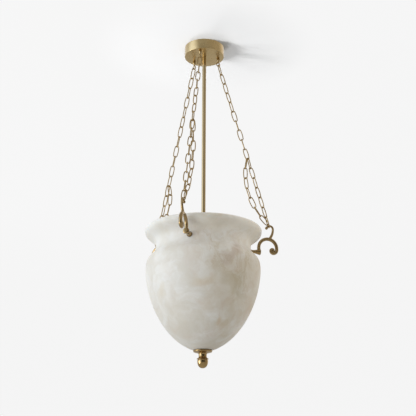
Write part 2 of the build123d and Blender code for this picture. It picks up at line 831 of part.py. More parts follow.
# Ceramic core: a plate with a cup below it that holds the screw shell
core_radius = holder_radius - holder_wall - hole_clearance
screw_shell_radius = screw_shell_inner_diameter / 2 + screw_shell_wall
core_plate_z = skirt_z - core_plate_thickness
shell_end_z = core_plate_z - screw_shell_depth
with BuildPart() as lampholder_core:
    with BuildSketch(Plane.XY.offset(shell_end_z)):
        Circle(core_radius)
    extrude(amount=screw_shell_depth + core_plate_thickness)
    with BuildSketch(Plane.XY.offset(shell_end_z)):
        Circle(screw_shell_radius + thread_clearance)
    extrude(amount=screw_shell_depth, mode=Mode.SUBTRACT)
lampholder_core.part.label = "lampholder_core"
export_step(lampholder_core.part, "parts/lampholder_core.step")

# Screw shell and centre contact
with BuildPart() as screw_shell:
    with BuildSketch(Plane.XY.offset(shell_end_z)):
        Circle(screw_shell_radius)
        Circle(screw_shell_inner_diameter / 2, mode=Mode.SUBTRACT)
    extrude(amount=screw_shell_depth)
screw_shell.part.label = "screw_shell"
export_step(screw_shell.part, "parts/screw_shell.step")

with BuildPart() as centre_contact:
    with BuildSketch(Plane.XY.offset(core_plate_z - contact_thickness)):
        Circle(contact_diameter / 2)
    extrude(amount=contact_thickness)
centre_contact.part.label = "centre_contact"
export_step(centre_contact.part, "parts/centre_contact.step")

# Bulb: glass globe, screw cap and contact tip
bulb_tip_z = core_plate_z - contact_thickness - bulb_clearance
bulb_cap_z = bulb_tip_z - bulb_tip_height
bulb_glass_z = bulb_cap_z - bulb_cap_length
bulb_cap_radius = screw_shell_inner_diameter / 2 - bulb_clearance
bulb_radius = bulb_diameter / 2
bulb_belly_z = bulb_glass_z - bulb_length + bulb_radius
with BuildPart() as bulb_cap:
    with BuildSketch(Plane.XY.offset(bulb_glass_z)):
        Circle(bulb_cap_radius)
    extrude(amount=bulb_cap_length)
    with BuildSketch(Plane.XY.offset(bulb_glass_z)):
        Circle(bulb_cap_radius - bulb_cap_wall)
    extrude(amount=bulb_cap_length - bulb_cap_wall, mode=Mode.SUBTRACT)
bulb_cap.part.label = "bulb_cap"
export_step(bulb_cap.part, "parts/bulb_cap.step")

with BuildPart() as bulb_tip:
    with BuildSketch(Plane.XY.offset(bulb_cap_z)):
        Circle(bulb_tip_diameter / 2)
    extrude(amount=bulb_tip_height, taper=bulb_tip_taper)
bulb_tip.part.label = "bulb_tip"
export_step(bulb_tip.part, "parts/bulb_tip.step")


def globe_curve(inset):
    """Side of the globe from its neck to its lowest point."""
    neck_x = bulb_cap_radius - inset
    belly_x = bulb_radius - inset
    low = (0, bulb_belly_z - belly_x)
    Bezier(
        (neck_x, bulb_glass_z),
        (neck_x, bulb_glass_z - bulb_neck_pull / 2),
        (belly_x, bulb_belly_z + bulb_neck_pull),
        (belly_x, bulb_belly_z),
    )
    RadiusArc((belly_x, bulb_belly_z), low, belly_x)


with BuildPart() as bulb_globe:
    with BuildSketch(Plane.XZ):
        with BuildLine():
            globe_curve(0)
            globe_curve(bulb_glass)
            Line((bulb_cap_radius, bulb_glass_z), (bulb_cap_radius - bulb_glass, bulb_glass_z))
            Line((0, bulb_belly_z - bulb_radius), (0, bulb_belly_z - bulb_radius + bulb_glass))
        make_face()
    revolve(axis=Axis.Z)
bulb_globe.part.label = "bulb_globe"
export_step(bulb_globe.part, "parts/bulb_globe.step")

# Terminal block on the canopy's floor
block_top_z = plate_top_z + block_height
entry_z = block_top_z - entry_drop - wire_diameter / 2
entry_xs = {"live": wire_spacing / 2, "neutral": -wire_spacing / 2, "earth": -earth_wire_x}
with BuildPart() as terminal_block:
    with BuildSketch(Plane.XY.offset(plate_top_z)):
        with Locations((0, block_distance + block_depth / 2)):
            RectangleRounded(block_width, block_depth, block_round)
    extrude(amount=block_height)
    with BuildSketch(Plane.XZ.offset(-block_distance)):
        with Locations([(x, entry_z) for x in entry_xs.values()]):
            Circle(wire_diameter / 2 + thread_clearance)
    extrude(amount=-block_entry_depth, mode=Mode.SUBTRACT)
terminal_block.part.label = "terminal_block"
export_step(terminal_block.part, "parts/terminal_block.step")

with BuildPart() as terminal_screws:
    with BuildSketch(Plane.XY.offset(block_top_z)):
        with Locations([(x, block_distance + block_entry_depth) for x in entry_xs.values()]):
            Circle(block_screw_diameter / 2)
    extrude(amount=block_screw_height)
terminal_screws.part.label = "terminal_screws"
export_step(terminal_screws.part, "parts/terminal_screws.step")

# Lamp wires: from the block, over the rod's end and down the rod to the ceramic core
wire_start_y = block_distance + block_entry_depth
for pole in ("live", "neutral"):
    x = entry_xs[pole]
    with BuildPart() as wire:
        with BuildLine() as route:
            FilletPolyline((x, wire_start_y, entry_z), (x, 0, entry_z), (x, 0, skirt_z), radius=wire_bend)
        with BuildSketch(Plane(origin=route.line @ 0, z_dir=route.line % 0)):
            Circle(wire_diameter / 2)
        sweep()
    wire.part.label = f"wire_{pole}"
    export_step(wire.part, f"parts/wire_{pole}.step")

# Earth wire and its screw in the strap
with BuildPart() as wire_earth:
    with BuildLine() as route:
        FilletPolyline(
            (-earth_wire_x, wire_start_y, entry_z),
            (-earth_wire_x, earth_screw_y, entry_z),
            (hole_clearance + earth_screw_diameter / 2 - earth_screw_x, earth_screw_y, entry_z),
            radius=wire_bend,
        )
    with BuildSketch(Plane(origin=route.line @ 0, z_dir=route.line % 0)):
        Circle(wire_diameter / 2)
    sweep()
wire_earth.part.label = "wire_earth"
export_step(wire_earth.part, "parts/wire_earth.step")

with BuildPart() as earth_screw:
    with BuildSketch(Plane.XY.offset(-strap_thickness - earth_screw_reach)):
        with Locations((-earth_screw_x, earth_screw_y)):
            Circle(earth_screw_diameter / 2)
    extrude(amount=strap_thickness + earth_screw_reach)
    with BuildSketch(Plane.XY.offset(-strap_thickness - earth_screw_reach)):
        with Locations((-earth_screw_x, earth_screw_y)):
            Circle(earth_screw_head / 2)
    extrude(amount=-earth_screw_head_height)
earth_screw.part.label = "earth_screw"
export_step(earth_screw.part, "parts/earth_screw.step")

# Places that the joints need
print("eye pivot", tuple(round(v, 3) for v in eye_pivot))
print("first joint", tuple(round(v, 3) for v in first_joint))
print("hook pivot", tuple(round(v, 3) for v in hook_pivot))
print("chain lean", round(degrees(chain_lean), 3), "length", round(chain_length, 3))
print("neck", round(neck_z, 3), "base", round(base_z, 3), "tip", round(knob_tip_z, 3))
print("link pitch", round(link_pitch, 3), "width", round(2 * link_half_width + link_wire, 3))
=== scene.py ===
# %% [markdown]
# # An alabaster pendant light
# The lamp hangs from the ceiling: a brass canopy, a brass rod, three chains that end in cast scroll
# hooks, and a bowl turned from alabaster with a brass finial under it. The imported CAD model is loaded
# first and stays where it is. Everything that shows is then modelled over it, piece by piece, in the
# same frame, and the CAD solids that are only seen from above keep their shape and get a finish.

# %% Load the frame
import json
from math import asin, atan2, cos, degrees, hypot, pi, radians, sin

import bpy
import numpy as np
from mathutils import Matrix, Vector
from mathutils.geometry import interpolate_bezier


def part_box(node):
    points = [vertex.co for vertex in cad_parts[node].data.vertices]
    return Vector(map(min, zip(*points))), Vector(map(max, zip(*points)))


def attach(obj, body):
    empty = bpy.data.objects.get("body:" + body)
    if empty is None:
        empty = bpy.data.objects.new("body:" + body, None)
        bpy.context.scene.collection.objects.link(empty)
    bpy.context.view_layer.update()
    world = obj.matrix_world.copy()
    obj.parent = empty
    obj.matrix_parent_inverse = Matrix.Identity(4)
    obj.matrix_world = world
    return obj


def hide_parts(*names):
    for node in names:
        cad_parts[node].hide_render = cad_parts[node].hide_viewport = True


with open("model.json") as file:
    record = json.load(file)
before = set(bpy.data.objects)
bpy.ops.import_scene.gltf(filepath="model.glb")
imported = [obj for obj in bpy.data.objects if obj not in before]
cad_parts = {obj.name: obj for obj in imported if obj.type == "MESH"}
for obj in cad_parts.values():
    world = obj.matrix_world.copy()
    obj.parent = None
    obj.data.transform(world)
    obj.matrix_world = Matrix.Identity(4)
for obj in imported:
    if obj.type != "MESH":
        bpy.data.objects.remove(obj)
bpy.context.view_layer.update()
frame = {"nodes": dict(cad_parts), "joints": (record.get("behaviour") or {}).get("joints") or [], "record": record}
nodes = frame["nodes"]
MM = 0.001

# %% [markdown]
# ## Camera
# The photograph looks up at the lamp from well below the bowl's middle, with a long lens. The lamp's
# edges and the ellipses of its canopy and lip gave the place, tilt and focal length of the camera, so
# the render can be laid over the photograph.

# %% Camera
PHOTO_PIXELS = 416
FOCAL_PIXELS = 916.5
SENSOR_WIDTH = 36
CAMERA_PLACE = (0, -2.102, -1.157)
CAMERA_PAN, CAMERA_TILT, CAMERA_ROLL = -0.30, 18.95, 0.2
aim = Matrix.Rotation(radians(CAMERA_PAN), 3, "Z") @ Matrix.Rotation(radians(90 + CAMERA_TILT), 3, "X")
aim = aim @ Matrix.Rotation(radians(CAMERA_ROLL), 3, "Z")
bpy.ops.object.select_all(action="DESELECT")
bpy.ops.object.camera_add(location=CAMERA_PLACE, rotation=aim.to_euler())
camera = bpy.context.object
camera.data.sensor_width = SENSOR_WIDTH
camera.data.lens = SENSOR_WIDTH * FOCAL_PIXELS / PHOTO_PIXELS
bpy.context.scene.camera = camera
print("camera lens", round(camera.data.lens, 2))

# %% [markdown]
# ## Writing shaders as sums
# A material is a tree of nodes. This small class wraps one output of that tree, so that a mask can be
# written as `1 - cloud * 0.5` and the Math nodes add themselves. Its `add` method makes any other node
# from its type, the values or links of its sockets, and its settings.


# %% Shader helper
class Shade:
    """One output in a material's nodes, which can be added, multiplied and mixed."""

    def __init__(self, tree, socket=None):
        self.tree = tree
        self.socket = socket

    def add(self, kind, sockets=None, output=0, **settings):
        node = self.tree.nodes.new("ShaderNode" + kind)
        for name, value in settings.items():
            setattr(node, name, value)
        for name, value in (sockets or {}).items():
            if isinstance(value, Shade):
                self.tree.links.new(value.socket, node.inputs[name])
            else:
                node.inputs[name].default_value = value
        return Shade(self.tree, node.outputs[output])

    def math(self, operation, first, second=0.0):
        return self.add("Math", {0: first, 1: second}, operation=operation)

    def __add__(self, other):
        return self.math("ADD", self, other)

    def __sub__(self, other):
        return self.math("SUBTRACT", self, other)

    def __rsub__(self, other):
        return self.math("SUBTRACT", other, self)

    def __mul__(self, other):
        return self.math("MULTIPLY", self, other)

    __radd__ = __add__
    __rmul__ = __mul__

    def step(self, low, high, start=0.0, end=1.0):
        """A soft step: start below low, end above high."""
        sockets = {"Value": self, "From Min": low, "From Max": high, "To Min": start, "To Max": end}
        return self.add("MapRange", sockets, interpolation_type="SMOOTHSTEP")

    def blend(self, first, second):
        """Goes from the first colour to the second as this value goes from 0 to 1."""
        return self.add("Mix", {0: self, 6: first, 7: second}, 2, data_type="RGBA")

    def noise(self, scale, detail=2.0, roughness=0.5, distortion=0.0):
        """Cloudy values around 0.5, read at this place."""
        sockets = {"Vector": self, "Scale": scale, "Detail": detail}
        sockets |= {"Roughness": roughness, "Distortion": distortion}
        return self.add("TexNoise", sockets, "Fac")

    def moved(self, x=0.0, y=0.0, z=0.0, scale=(1, 1, 1)):
        """The same place, shifted and stretched, so that a second pattern differs from the first."""
        return self.add("Mapping", {"Vector": self, "Location": (x, y, z), "Scale": scale})

    def axes(self):
        """The x, y and z of this place."""
        return [self.add("SeparateXYZ", {0: self}, axis) for axis in "XYZ"]

    def vector(self, operation, second=None, output=0):
        """This place taken together with a second one."""
        sockets = {0: self} if second is None else {0: self, 1: second}
        return self.add("VectorMath", sockets, output, operation=operation)

    def bump(self, height, strength, distance):
        sockets = {"Height": height, "Strength": strength, "Distance": distance}
        return self.add("Bump", sockets)


# %% [markdown]
# ## Colours and materials
# Colours are written as a screen shows them. Every material starts from Blender's Principled surface,
# and its patterns are read at the place on the object, so that they stay with the piece.


# %% Colours and materials
def tone(red, green, blue):
    """A colour as a screen shows it, from 0 to 255, turned into light values."""
    light = []
    for value in (red, green, blue):
        share = value / 255
        light.append(share / 12.92 if share <= 0.04045 else ((share + 0.055) / 1.055) ** 2.4)
    return (*light, 1.0)


def new_material(name):
    """A material, its surface node and the place on the object that its patterns are read at."""
    material = bpy.data.materials.new(name)
    material.use_nodes = True
    surface = material.node_tree.nodes["Principled BSDF"]
    place = Shade(material.node_tree).add("TexCoord", output="Object")
    return material, surface, place


def feed(surface, **sockets):
    """Links patterns to the surface's sockets, or sets plain values. Names use _ for a space."""
    for name, value in sockets.items():
        socket = surface.inputs[name.replace("_", " ")]
        if isinstance(value, Shade):
            value.tree.links.new(value.socket, socket)
        else:
            socket.default_value = value


# %% [markdown]
# ## The room
# The lamp hangs in a white room: a ceiling above the canopy, a pale floor far below, and a pale
# background. A room with four walls could do the same, but it would have to be lit evenly. So the
# ceiling is a disc that is painted around the canopy, where the shadow falls, and passes into the
# background's own colour further out. Only the camera sees it, and from above it is clear, so that the
# canopy's inside can be looked into.

# %% Ceiling and floor
BACKGROUND = tone(246, 246, 246)
CEILING_LIFT = 0.4 * MM
CEILING_RADIUS, FLOOR_RADIUS = 12.0, 17.0
CEILING_PAINT = (0.70, 0.727, 0.768, 1.0)
PAINT_FULL, PAINT_GONE, PAINT_LEFT = 0.1, 0.3, 0.02
FLOOR_HEIGHT = -2.6
FLOOR_IN_MIRRORS = 0.22


def stage_material(name):
    """An empty material for the room, and the start of its nodes."""
    material = bpy.data.materials.new(name)
    material.use_nodes = True
    material.node_tree.nodes.clear()
    return material, Shade(material.node_tree)


def show(shader, kind="ShaderNodeOutputMaterial"):
    """Sends a finished shader to the output of its tree."""
    out = shader.tree.nodes.new(kind)
    shader.tree.links.new(shader.socket, out.inputs["Surface"])


def ceiling_paint():
    material, shade = stage_material("ceiling_paint")
    place = shade.add("TexCoord", output="Object")
    distance = place.vector("LENGTH", output="Value")
    solid = distance.step(PAINT_FULL, PAINT_GONE, 1.0, PAINT_LEFT)
    from_above = shade.add("NewGeometry", output="Backfacing")
    paint = shade.add("BsdfDiffuse", {"Color": CEILING_PAINT})
    pale = shade.add("Emission", {"Color": BACKGROUND})
    below = shade.add("MixShader", {0: solid, 1: pale, 2: paint})
    clear = shade.add("BsdfTransparent")
    show(shade.add("MixShader", {0: from_above, 1: below, 2: clear}))
    return material


def floor_paint():
    """Pale for the camera, dimmer as a source of light, so that the bowl's underside stays darker."""
    material, shade = stage_material("floor_paint")
    place = shade.add("TexCoord", output="Object")
    grain = place.noise(3.0, 3.0)
    paint = grain.blend(tone(240, 240, 240), tone(248, 248, 248))
    pale = shade.add("BsdfDiffuse", {"Color": paint})
    dim = shade.add("BsdfDiffuse", {"Color": tone(188, 187, 184)})
    seen = shade.add("LightPath", output="Is Camera Ray")
    mirrored = shade.add("LightPath", output="Is Glossy Ray")
    show(shade.add("MixShader", {0: seen + mirrored * FLOOR_IN_MIRRORS, 1: dim, 2: pale}))
    return material


def room_disc(name, radius, height, turn, material):
    """A round plate of the room, around the lamp's axis."""
    bpy.ops.object.select_all(action="DESELECT")
    bpy.ops.mesh.primitive_circle_add(
        vertices=96, radius=radius, fill_type="NGON", location=(0, 0, height), rotation=(turn, 0, 0)
    )
    plate = bpy.context.object
    plate.name = name
    plate.data.materials.append(material)
    return plate


ceiling = room_disc("ceiling", CEILING_RADIUS, CEILING_LIFT, pi, ceiling_paint())
ceiling.visible_diffuse = False
ceiling.visible_glossy = False
ceiling.visible_shadow = False
floor = room_disc("floor", FLOOR_RADIUS, FLOOR_HEIGHT, 0, floor_paint())
print("ceiling at", round(ceiling.location.z, 4), "floor at", round(floor.location.z, 2))

# %% [markdown]
# ## The light of the room
# The world gives the light from all around. A picture of a real room could do that, but a few soft steps
# over the direction are enough and need no file. The camera sees the plain background. The stone gets
# soft daylight from the left and some from behind and the right. The brass mirrors a dimmer room with one
# bright window pane, and a dark patch on the camera's side, which photographers call a flag. Brass with
# nothing dark to mirror looks like paint.

# %% World
ROOM_LIGHT, DAYLIGHT, LIGHT_BEHIND, LIGHT_RIGHT = 0.5, 0.5, 0.2, 0.78
MIRRORED_ROOM, MIRRORED_PANE, MIRRORED_BEHIND, FLAG_DEPTH = 0.47, 1.25, 0.4, 0.85
FLAG_TOP, FLAG_END = 0.21, 0.38
WARM_SIDE, COOL_SIDE = tone(253, 246, 235), tone(248, 252, 255)
PANE_COLOUR = (0.84, 0.96, 1.2, 1.0)
world = bpy.data.worlds.new("studio")
bpy.context.scene.world = world
world.use_nodes = True
world.node_tree.nodes.clear()
sky = Shade(world.node_tree)
seen = sky.add("LightPath", output="Is Camera Ray")
seen = seen + sky.add("LightPath", output="Is Transmission Ray")
glossy = sky.add("LightPath", output="Is Glossy Ray")
way = sky.add("TexCoord", output="Generated")
x, y, z = way.axes()


def towards(right, back, low, high):
    """A soft step over how far a direction points to one side, given by its shares of +X and +Y."""
    return (x * right + y * back).step(low, high)


daylight = towards(-0.93, -0.36, -0.75, 0.95)
from_behind = y.step(0.1, 0.55)
from_right = towards(0.85, 0.5, 0.35, 0.95)
pane = towards(-0.96, -0.28, 0.70, 0.94)
flag = towards(0.2, -0.95, 0.6, 0.85) * z.step(FLAG_TOP, FLAG_END, 1.0, 0.0)
room = daylight * DAYLIGHT + from_behind * LIGHT_BEHIND + from_right * LIGHT_RIGHT + ROOM_LIGHT
mirrored = pane * MIRRORED_PANE + from_behind * MIRRORED_BEHIND + MIRRORED_ROOM
mirrored = mirrored * (1 - flag * FLAG_DEPTH)
strength = seen + (1 - seen) * (glossy * mirrored + (1 - glossy) * room)
tint = daylight.blend(WARM_SIDE, COOL_SIDE)
tint = (glossy * pane).blend(tint, PANE_COLOUR)
colour = seen.blend(tint, BACKGROUND)
show(sky.add("Background", {"Color": colour, "Strength": strength}), "ShaderNodeOutputWorld")
print("world nodes", len(world.node_tree.nodes))

# %% [markdown]
# ## Lights
# The key light is a large soft one at the left: it draws the bright side of the bowl, and the pale room
# fills the rest. One light could also throw the shadow on the ceiling, but then neither could be set
# without the other. So two more lights shine on the ceiling alone, by light linking. A tall one stands
# for the window and throws the canopy's soft shadow to the right. A small one behind the lamp leaves the
# short dark fringe in front of the canopy.


# %% Lights
def soft_light(name, place, aim, size, watts, colour):
    """A round or oval area light that the camera does not see."""
    bpy.ops.object.light_add(type="AREA", location=place)
    light = bpy.context.object
    light.name = name
    light.rotation_euler = (Vector(aim) - Vector(place)).to_track_quat("-Z", "Y").to_euler()
    light.data.shape = "ELLIPSE"
    light.data.size, light.data.size_y = size
    light.data.energy = watts
    light.data.color = colour[:3]
    light.visible_camera = False
    return light


# A light has a place, a point that it looks at, two sizes, a power in watts and a colour.
LIGHTS = {
    "key": ((-2.3, -0.75, -1.05), (0, 0, -0.35), (1.2, 1.2), 20, tone(250, 253, 255)),
    "window": ((-3.5, -1.17, -1.82), (0, 0, 0), (1.04, 1.8), 196, tone(255, 250, 244)),
    "ceiling_fill": ((-0.7, 1.3, -1.25), (0, 0, 0), (0.8, 0.8), 15, tone(254, 250, 247)),
}
lights = {name: soft_light(name, *values) for name, values in LIGHTS.items()}
only_ceiling = bpy.data.collections.new("only_ceiling")
only_ceiling.objects.link(ceiling)
for name in ("window", "ceiling_fill"):
    lights[name].light_linking.receiver_collection = only_ceiling
print("lights", list(lights))

# %% [markdown]
# ## Turning on a lathe
# Most of the lamp is turned on a lathe or looks as if it were. A Screw modifier could make such a shape
# from an outline. Here the outline of radii and heights is drawn edge by edge, from one vertex, and the
# spin operator takes it around the lamp's axis, because the seam is then merged in the same step. The
# stretches of an outline that are not straight are pulled curves and arcs.


# %% Outlines and turned pieces
def pick(*pieces):
    """Selects only these pieces and makes the first one active."""
    if bpy.context.mode != "OBJECT":
        bpy.ops.object.mode_set(mode="OBJECT")
    bpy.ops.object.select_all(action="DESELECT")
    for piece in pieces:
        piece.select_set(True)
    if pieces:
        bpy.context.view_layer.objects.active = pieces[0]


def curve(start, pull, push, end, steps):
    """Points of a curved stretch of an outline, its two ends included."""
    corners = [Vector((r, z, 0)) for r, z in (start, pull, push, end)]
    return [(point.x, point.y) for point in interpolate_bezier(*corners, steps + 1)]


def arc(centre, radius, start, end, steps):
    """Points of a round stretch, from a start angle to an end angle."""
    turns = [radians(start + (end - start) * i / steps) for i in range(steps + 1)]
    return [(centre[0] + radius * cos(turn), centre[1] + radius * sin(turn)) for turn in turns]


def turned(outline, steps):
    """Spins an outline of radius and height, in millimetres, about the lamp's axis."""
    points = [Vector((r, 0, z)) * MM for r, z in outline]
    pick()
    bpy.ops.mesh.primitive_plane_add(size=MM, location=points[0])
    bpy.ops.object.mode_set(mode="EDIT")
    bpy.ops.mesh.merge(type="CENTER")
    for here, there in zip(points, points[1:]):
        bpy.ops.mesh.extrude_region_move(TRANSFORM_OT_translate={"value": there - here})
    bpy.ops.mesh.select_all(action="SELECT")
    bpy.ops.mesh.remove_doubles(threshold=0.001 * MM)
    bpy.ops.mesh.spin(steps=steps, angle=2 * pi, center=(0, 0, 0), axis=(0, 0, 1), use_auto_merge=True)
    bpy.ops.mesh.select_all(action="SELECT")
    bpy.ops.mesh.remove_doubles(threshold=0.001 * MM)
    bpy.ops.mesh.normals_make_consistent(inside=False)
    bpy.ops.object.mode_set(mode="OBJECT")
    bpy.ops.object.transform_apply()
    return bpy.context.object


# %% [markdown]
# ## Placing, copying and cutting
# A shape is turned and moved, copied around the lamp, joined with others, and drilled. A hole on the
# axis can be part of a turned outline, and the others are cut with a Boolean, as with a drill. Each move
# is applied to the mesh, so every object stays at the origin, as the CAD nodes do.


# %% Place, copy and cut
def set_down(piece, move=(0, 0, 0), turn=(0, 0, 0)):
    """Turns a piece, moves it by millimetres, and applies both to its mesh."""
    pick(piece)
    piece.rotation_euler = [radians(angle) for angle in turn]
    piece.location = Vector(move) * MM
    bpy.ops.object.transform_apply()
    return piece


def twin(piece):
    """A copy of a piece with its own mesh."""
    pick(piece)
    bpy.ops.object.duplicate()
    return bpy.context.object


def joined(pieces):
    """Several meshes made one object."""
    pick(*pieces)
    bpy.ops.object.join()
    return bpy.context.object


def around(piece, angles):
    """The piece, drawn along +X, repeated at each angle around the lamp and made one object."""
    copies = [set_down(twin(piece), turn=(0, 0, angle)) for angle in angles]
    bpy.data.objects.remove(piece)
    return joined(copies)


def drill(radius, start, end):
    """A round cutter between two points, in millimetres."""
    start, end = Vector(start) * MM, Vector(end) * MM
    pick()
    bpy.ops.mesh.primitive_cylinder_add(
        vertices=32,
        radius=radius * MM,
        depth=(end - start).length,
        location=(start + end) / 2,
        rotation=(end - start).to_track_quat("Z", "Y").to_euler(),
    )
    bpy.ops.object.transform_apply()
    return bpy.context.object


def cut(piece, cutter, operation="DIFFERENCE"):
    """Takes the cutter away from a piece, or keeps what both share."""
    pick(piece)
    modifier = piece.modifiers.new("cut", "BOOLEAN")
    modifier.object = cutter
    modifier.operation = operation
    modifier.solver = "EXACT"
    bpy.ops.object.modifier_apply(modifier=modifier.name)
    bpy.data.objects.remove(cutter)
    return piece


# %% [markdown]
# ## Finishing a piece
# The last step is the same for every piece: a name, smooth shading up to an angle, a material, and the
# CAD node that it stands for. The record says which body the node rides on and which slot it has.


# %% Finishing a piece
SLOTS = {subpart["node"]: subpart["material_slot"] for subpart in frame["record"]["subparts"]}
BODIES = {node: body for body, held in frame["record"]["behaviour"]["bodies"].items() for node in held}


def finished(piece, name, material, node, smooth):
    """Names a piece, shades it, gives it its finish and puts it in its CAD node's place."""
    piece.name = name
    piece.data.name = name
    pick(piece)
    bpy.ops.object.shade_smooth_by_angle(angle=radians(smooth))
    piece.data.materials.clear()
    piece.data.materials.append(material)
    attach(piece, BODIES[node])
    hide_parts(node)
    print(name, len(piece.data.polygons), "faces")


# %% [markdown]
# ## Brass
# All the brass is one metal with different finishes: satin on the canopy, drawn on the rod, polished on
# the finial, cast and darkened on the hooks, wire on the chains. Each could be a material of its own, but
# one function keeps them alike. It mixes a clean colour, a tarnished colour in soft patches, fine lathe
# marks that run around the axis, and a dark patina in the hollows where the piece has a crevice map.


# %% Brass finishes
LATHE_SCALE = 2600.0
DARK_PATINA = tone(58, 42, 22)


def lathe_lines(place):
    """Fine rings around the lamp's axis, read from the distance to the axis and the height."""
    x, y, z = place.axes()
    square = x * x + y * y
    radius = square.math("SQRT", square)
    ring = place.add("CombineXYZ", {"X": radius, "Y": z})
    return ring.noise(LATHE_SCALE, 3.0, 0.6)


def brass(name, clean, tarnished, roughness, lathe=0.0, crevices=0.0, patches=55.0, lacquer=0.0, relief=0.0):
    """A brass finish: patches is a scale, and lathe, crevices, lacquer and relief are strengths."""
    material, surface, place = new_material(name)
    patch = place.noise(patches, 4.0, 0.6, 0.4).step(0.35, 0.75)
    speck = place.moved(0.3, 0.1).noise(900.0, 3.0, 0.6)
    colour = (patch * 0.5 + speck * 0.05).blend(clean, tarnished)
    rough = patch * 0.06 + (roughness - 0.03)
    if crevices:
        crevice = place.add("VertexColor", layer_name="crevice")
        hollow = crevice.step(0.62, 0.28)
        colour = (hollow * crevices).blend(colour, DARK_PATINA)
        rough = rough + hollow * 0.18
    if lathe:
        rough = rough + (lathe_lines(place) - 0.5) * lathe
    if relief:
        feed(surface, Normal=place.bump(speck, relief, 0.00008))
    feed(surface, Metallic=1.0, Base_Color=colour, Roughness=rough)
    feed(surface, Coat_Weight=lacquer, Coat_Roughness=0.16)
    return material


satin_brass = brass("satin_brass", tone(208, 182, 130), tone(192, 165, 111), 0.28, lathe=0.06, lacquer=0.6)
drawn_brass = brass("drawn_brass", tone(188, 164, 116), tone(172, 148, 102), 0.15, patches=14.0, lacquer=1.0)
polished_brass = brass(
    "polished_brass", tone(178, 150, 102), tone(152, 124, 78), 0.2, lathe=0.04, lacquer=0.2
)
casting = {"crevices": 0.7, "patches": 110.0, "lacquer": 0.8, "relief": 0.08}
cast_brass = brass("cast_brass", tone(174, 147, 98), tone(134, 107, 67), 0.24, **casting)
eye_brass = brass("eye_brass", tone(192, 168, 122), tone(150, 124, 82), 0.2, patches=90.0, lacquer=0.3)
chain_brass = brass("chain_brass", tone(190, 164, 116), tone(160, 132, 88), 0.3, patches=30.0, lacquer=0.3)
plain_brass = brass("plain_brass", tone(206, 176, 112), tone(178, 146, 88), 0.28)
print("brass finishes", [material.name for material in bpy.data.materials if "brass" in material.name])

# %% [markdown]
# ## Alabaster
# Alabaster is a soft, milky stone. Light goes a little way into it, so its shadows are gentle, and it
# is full of clouds: whiter ones, beige and pinkish ones, a sandy haze, and a few ochre veins. A picture
# of stone could be wrapped around the bowl, but it would stretch at the foot and show a seam. Noises are
# read in space instead, so that they run through the block. First come the flow that bends them all, and
# single stains at chosen places, among them pale patches that are painted highlights on the lip and the
# right side.


# %% Flow and stains
# A stain has a centre and a size in metres, a stretch along each axis, a share and a colour. Some pale entries are
# painted highlights, not stains.
STAINS_AND_PAINTED_LIGHT = [
    ((0.054, -0.12, -0.585), 0.035, (1, 2, 0.45), 0.4, tone(186, 164, 148)),
    ((0.070, -0.11, -0.640), 0.055, (0.9, 2, 0.7), 0.4, tone(186, 178, 154)),
    ((0.026, -0.07, -0.735), 0.028, (0.5, 2, 1.0), 0.55, tone(200, 170, 120)),
    ((-0.012, -0.13, -0.636), 0.04, (1, 2, 0.5), 0.35, tone(210, 194, 164)),
    ((-0.093, -0.08, -0.676), 0.028, (0.6, 2, 1.0), 0.3, tone(214, 200, 172)),
    ((0.050, -0.12, -0.505), 0.035, (1.2, 2, 0.4), 0.25, tone(180, 172, 160)),
    # Painted highlights: the next four pale patches lighten the lip and the upper right side to stand for light,
    # and are not stains.
    ((-0.125, -0.06, -0.505), 0.05, (1, 2, 0.8), 0.7, tone(242, 243, 242)),
    ((0.105, -0.09, -0.512), 0.085, (1, 2, 0.6), 0.8, tone(242, 237, 228)),
    ((0.100, -0.055, -0.560), 0.055, (1, 2, 0.6), 0.55, tone(244, 239, 231)),
    ((0.010, -0.13, -0.505), 0.05, (1, 2, 0.6), 0.55, tone(240, 237, 230)),
    ((0.030, -0.13, -0.640), 0.09, (0.7, 2, 1.0), 0.3, tone(194, 180, 150)),
]
SWIRL_SCALE, SWIRL_REACH = 11.0, 0.13


def flowing(place):
    """The place, pushed about by a noise, so that patterns read there swirl like the stone."""
    sockets = {"Vector": place, "Scale": SWIRL_SCALE, "Detail": 5.0}
    swirl = place.add("TexNoise", sockets, "Color")
    shift = swirl.vector("SUBTRACT", (0.5, 0.5, 0.5)).vector("MULTIPLY", (SWIRL_REACH,) * 3)
    return place.vector("ADD", shift)


def spot(flow, centre, size, stretch):
    """A soft patch around one place on the stone, ragged where the flow of the stone is."""
    away = flow.vector("SUBTRACT", centre).vector("DIVIDE", [size * share for share in stretch])
    return away.vector("LENGTH", output="Value").step(0.25, 1.0, 1.0, 0.0)
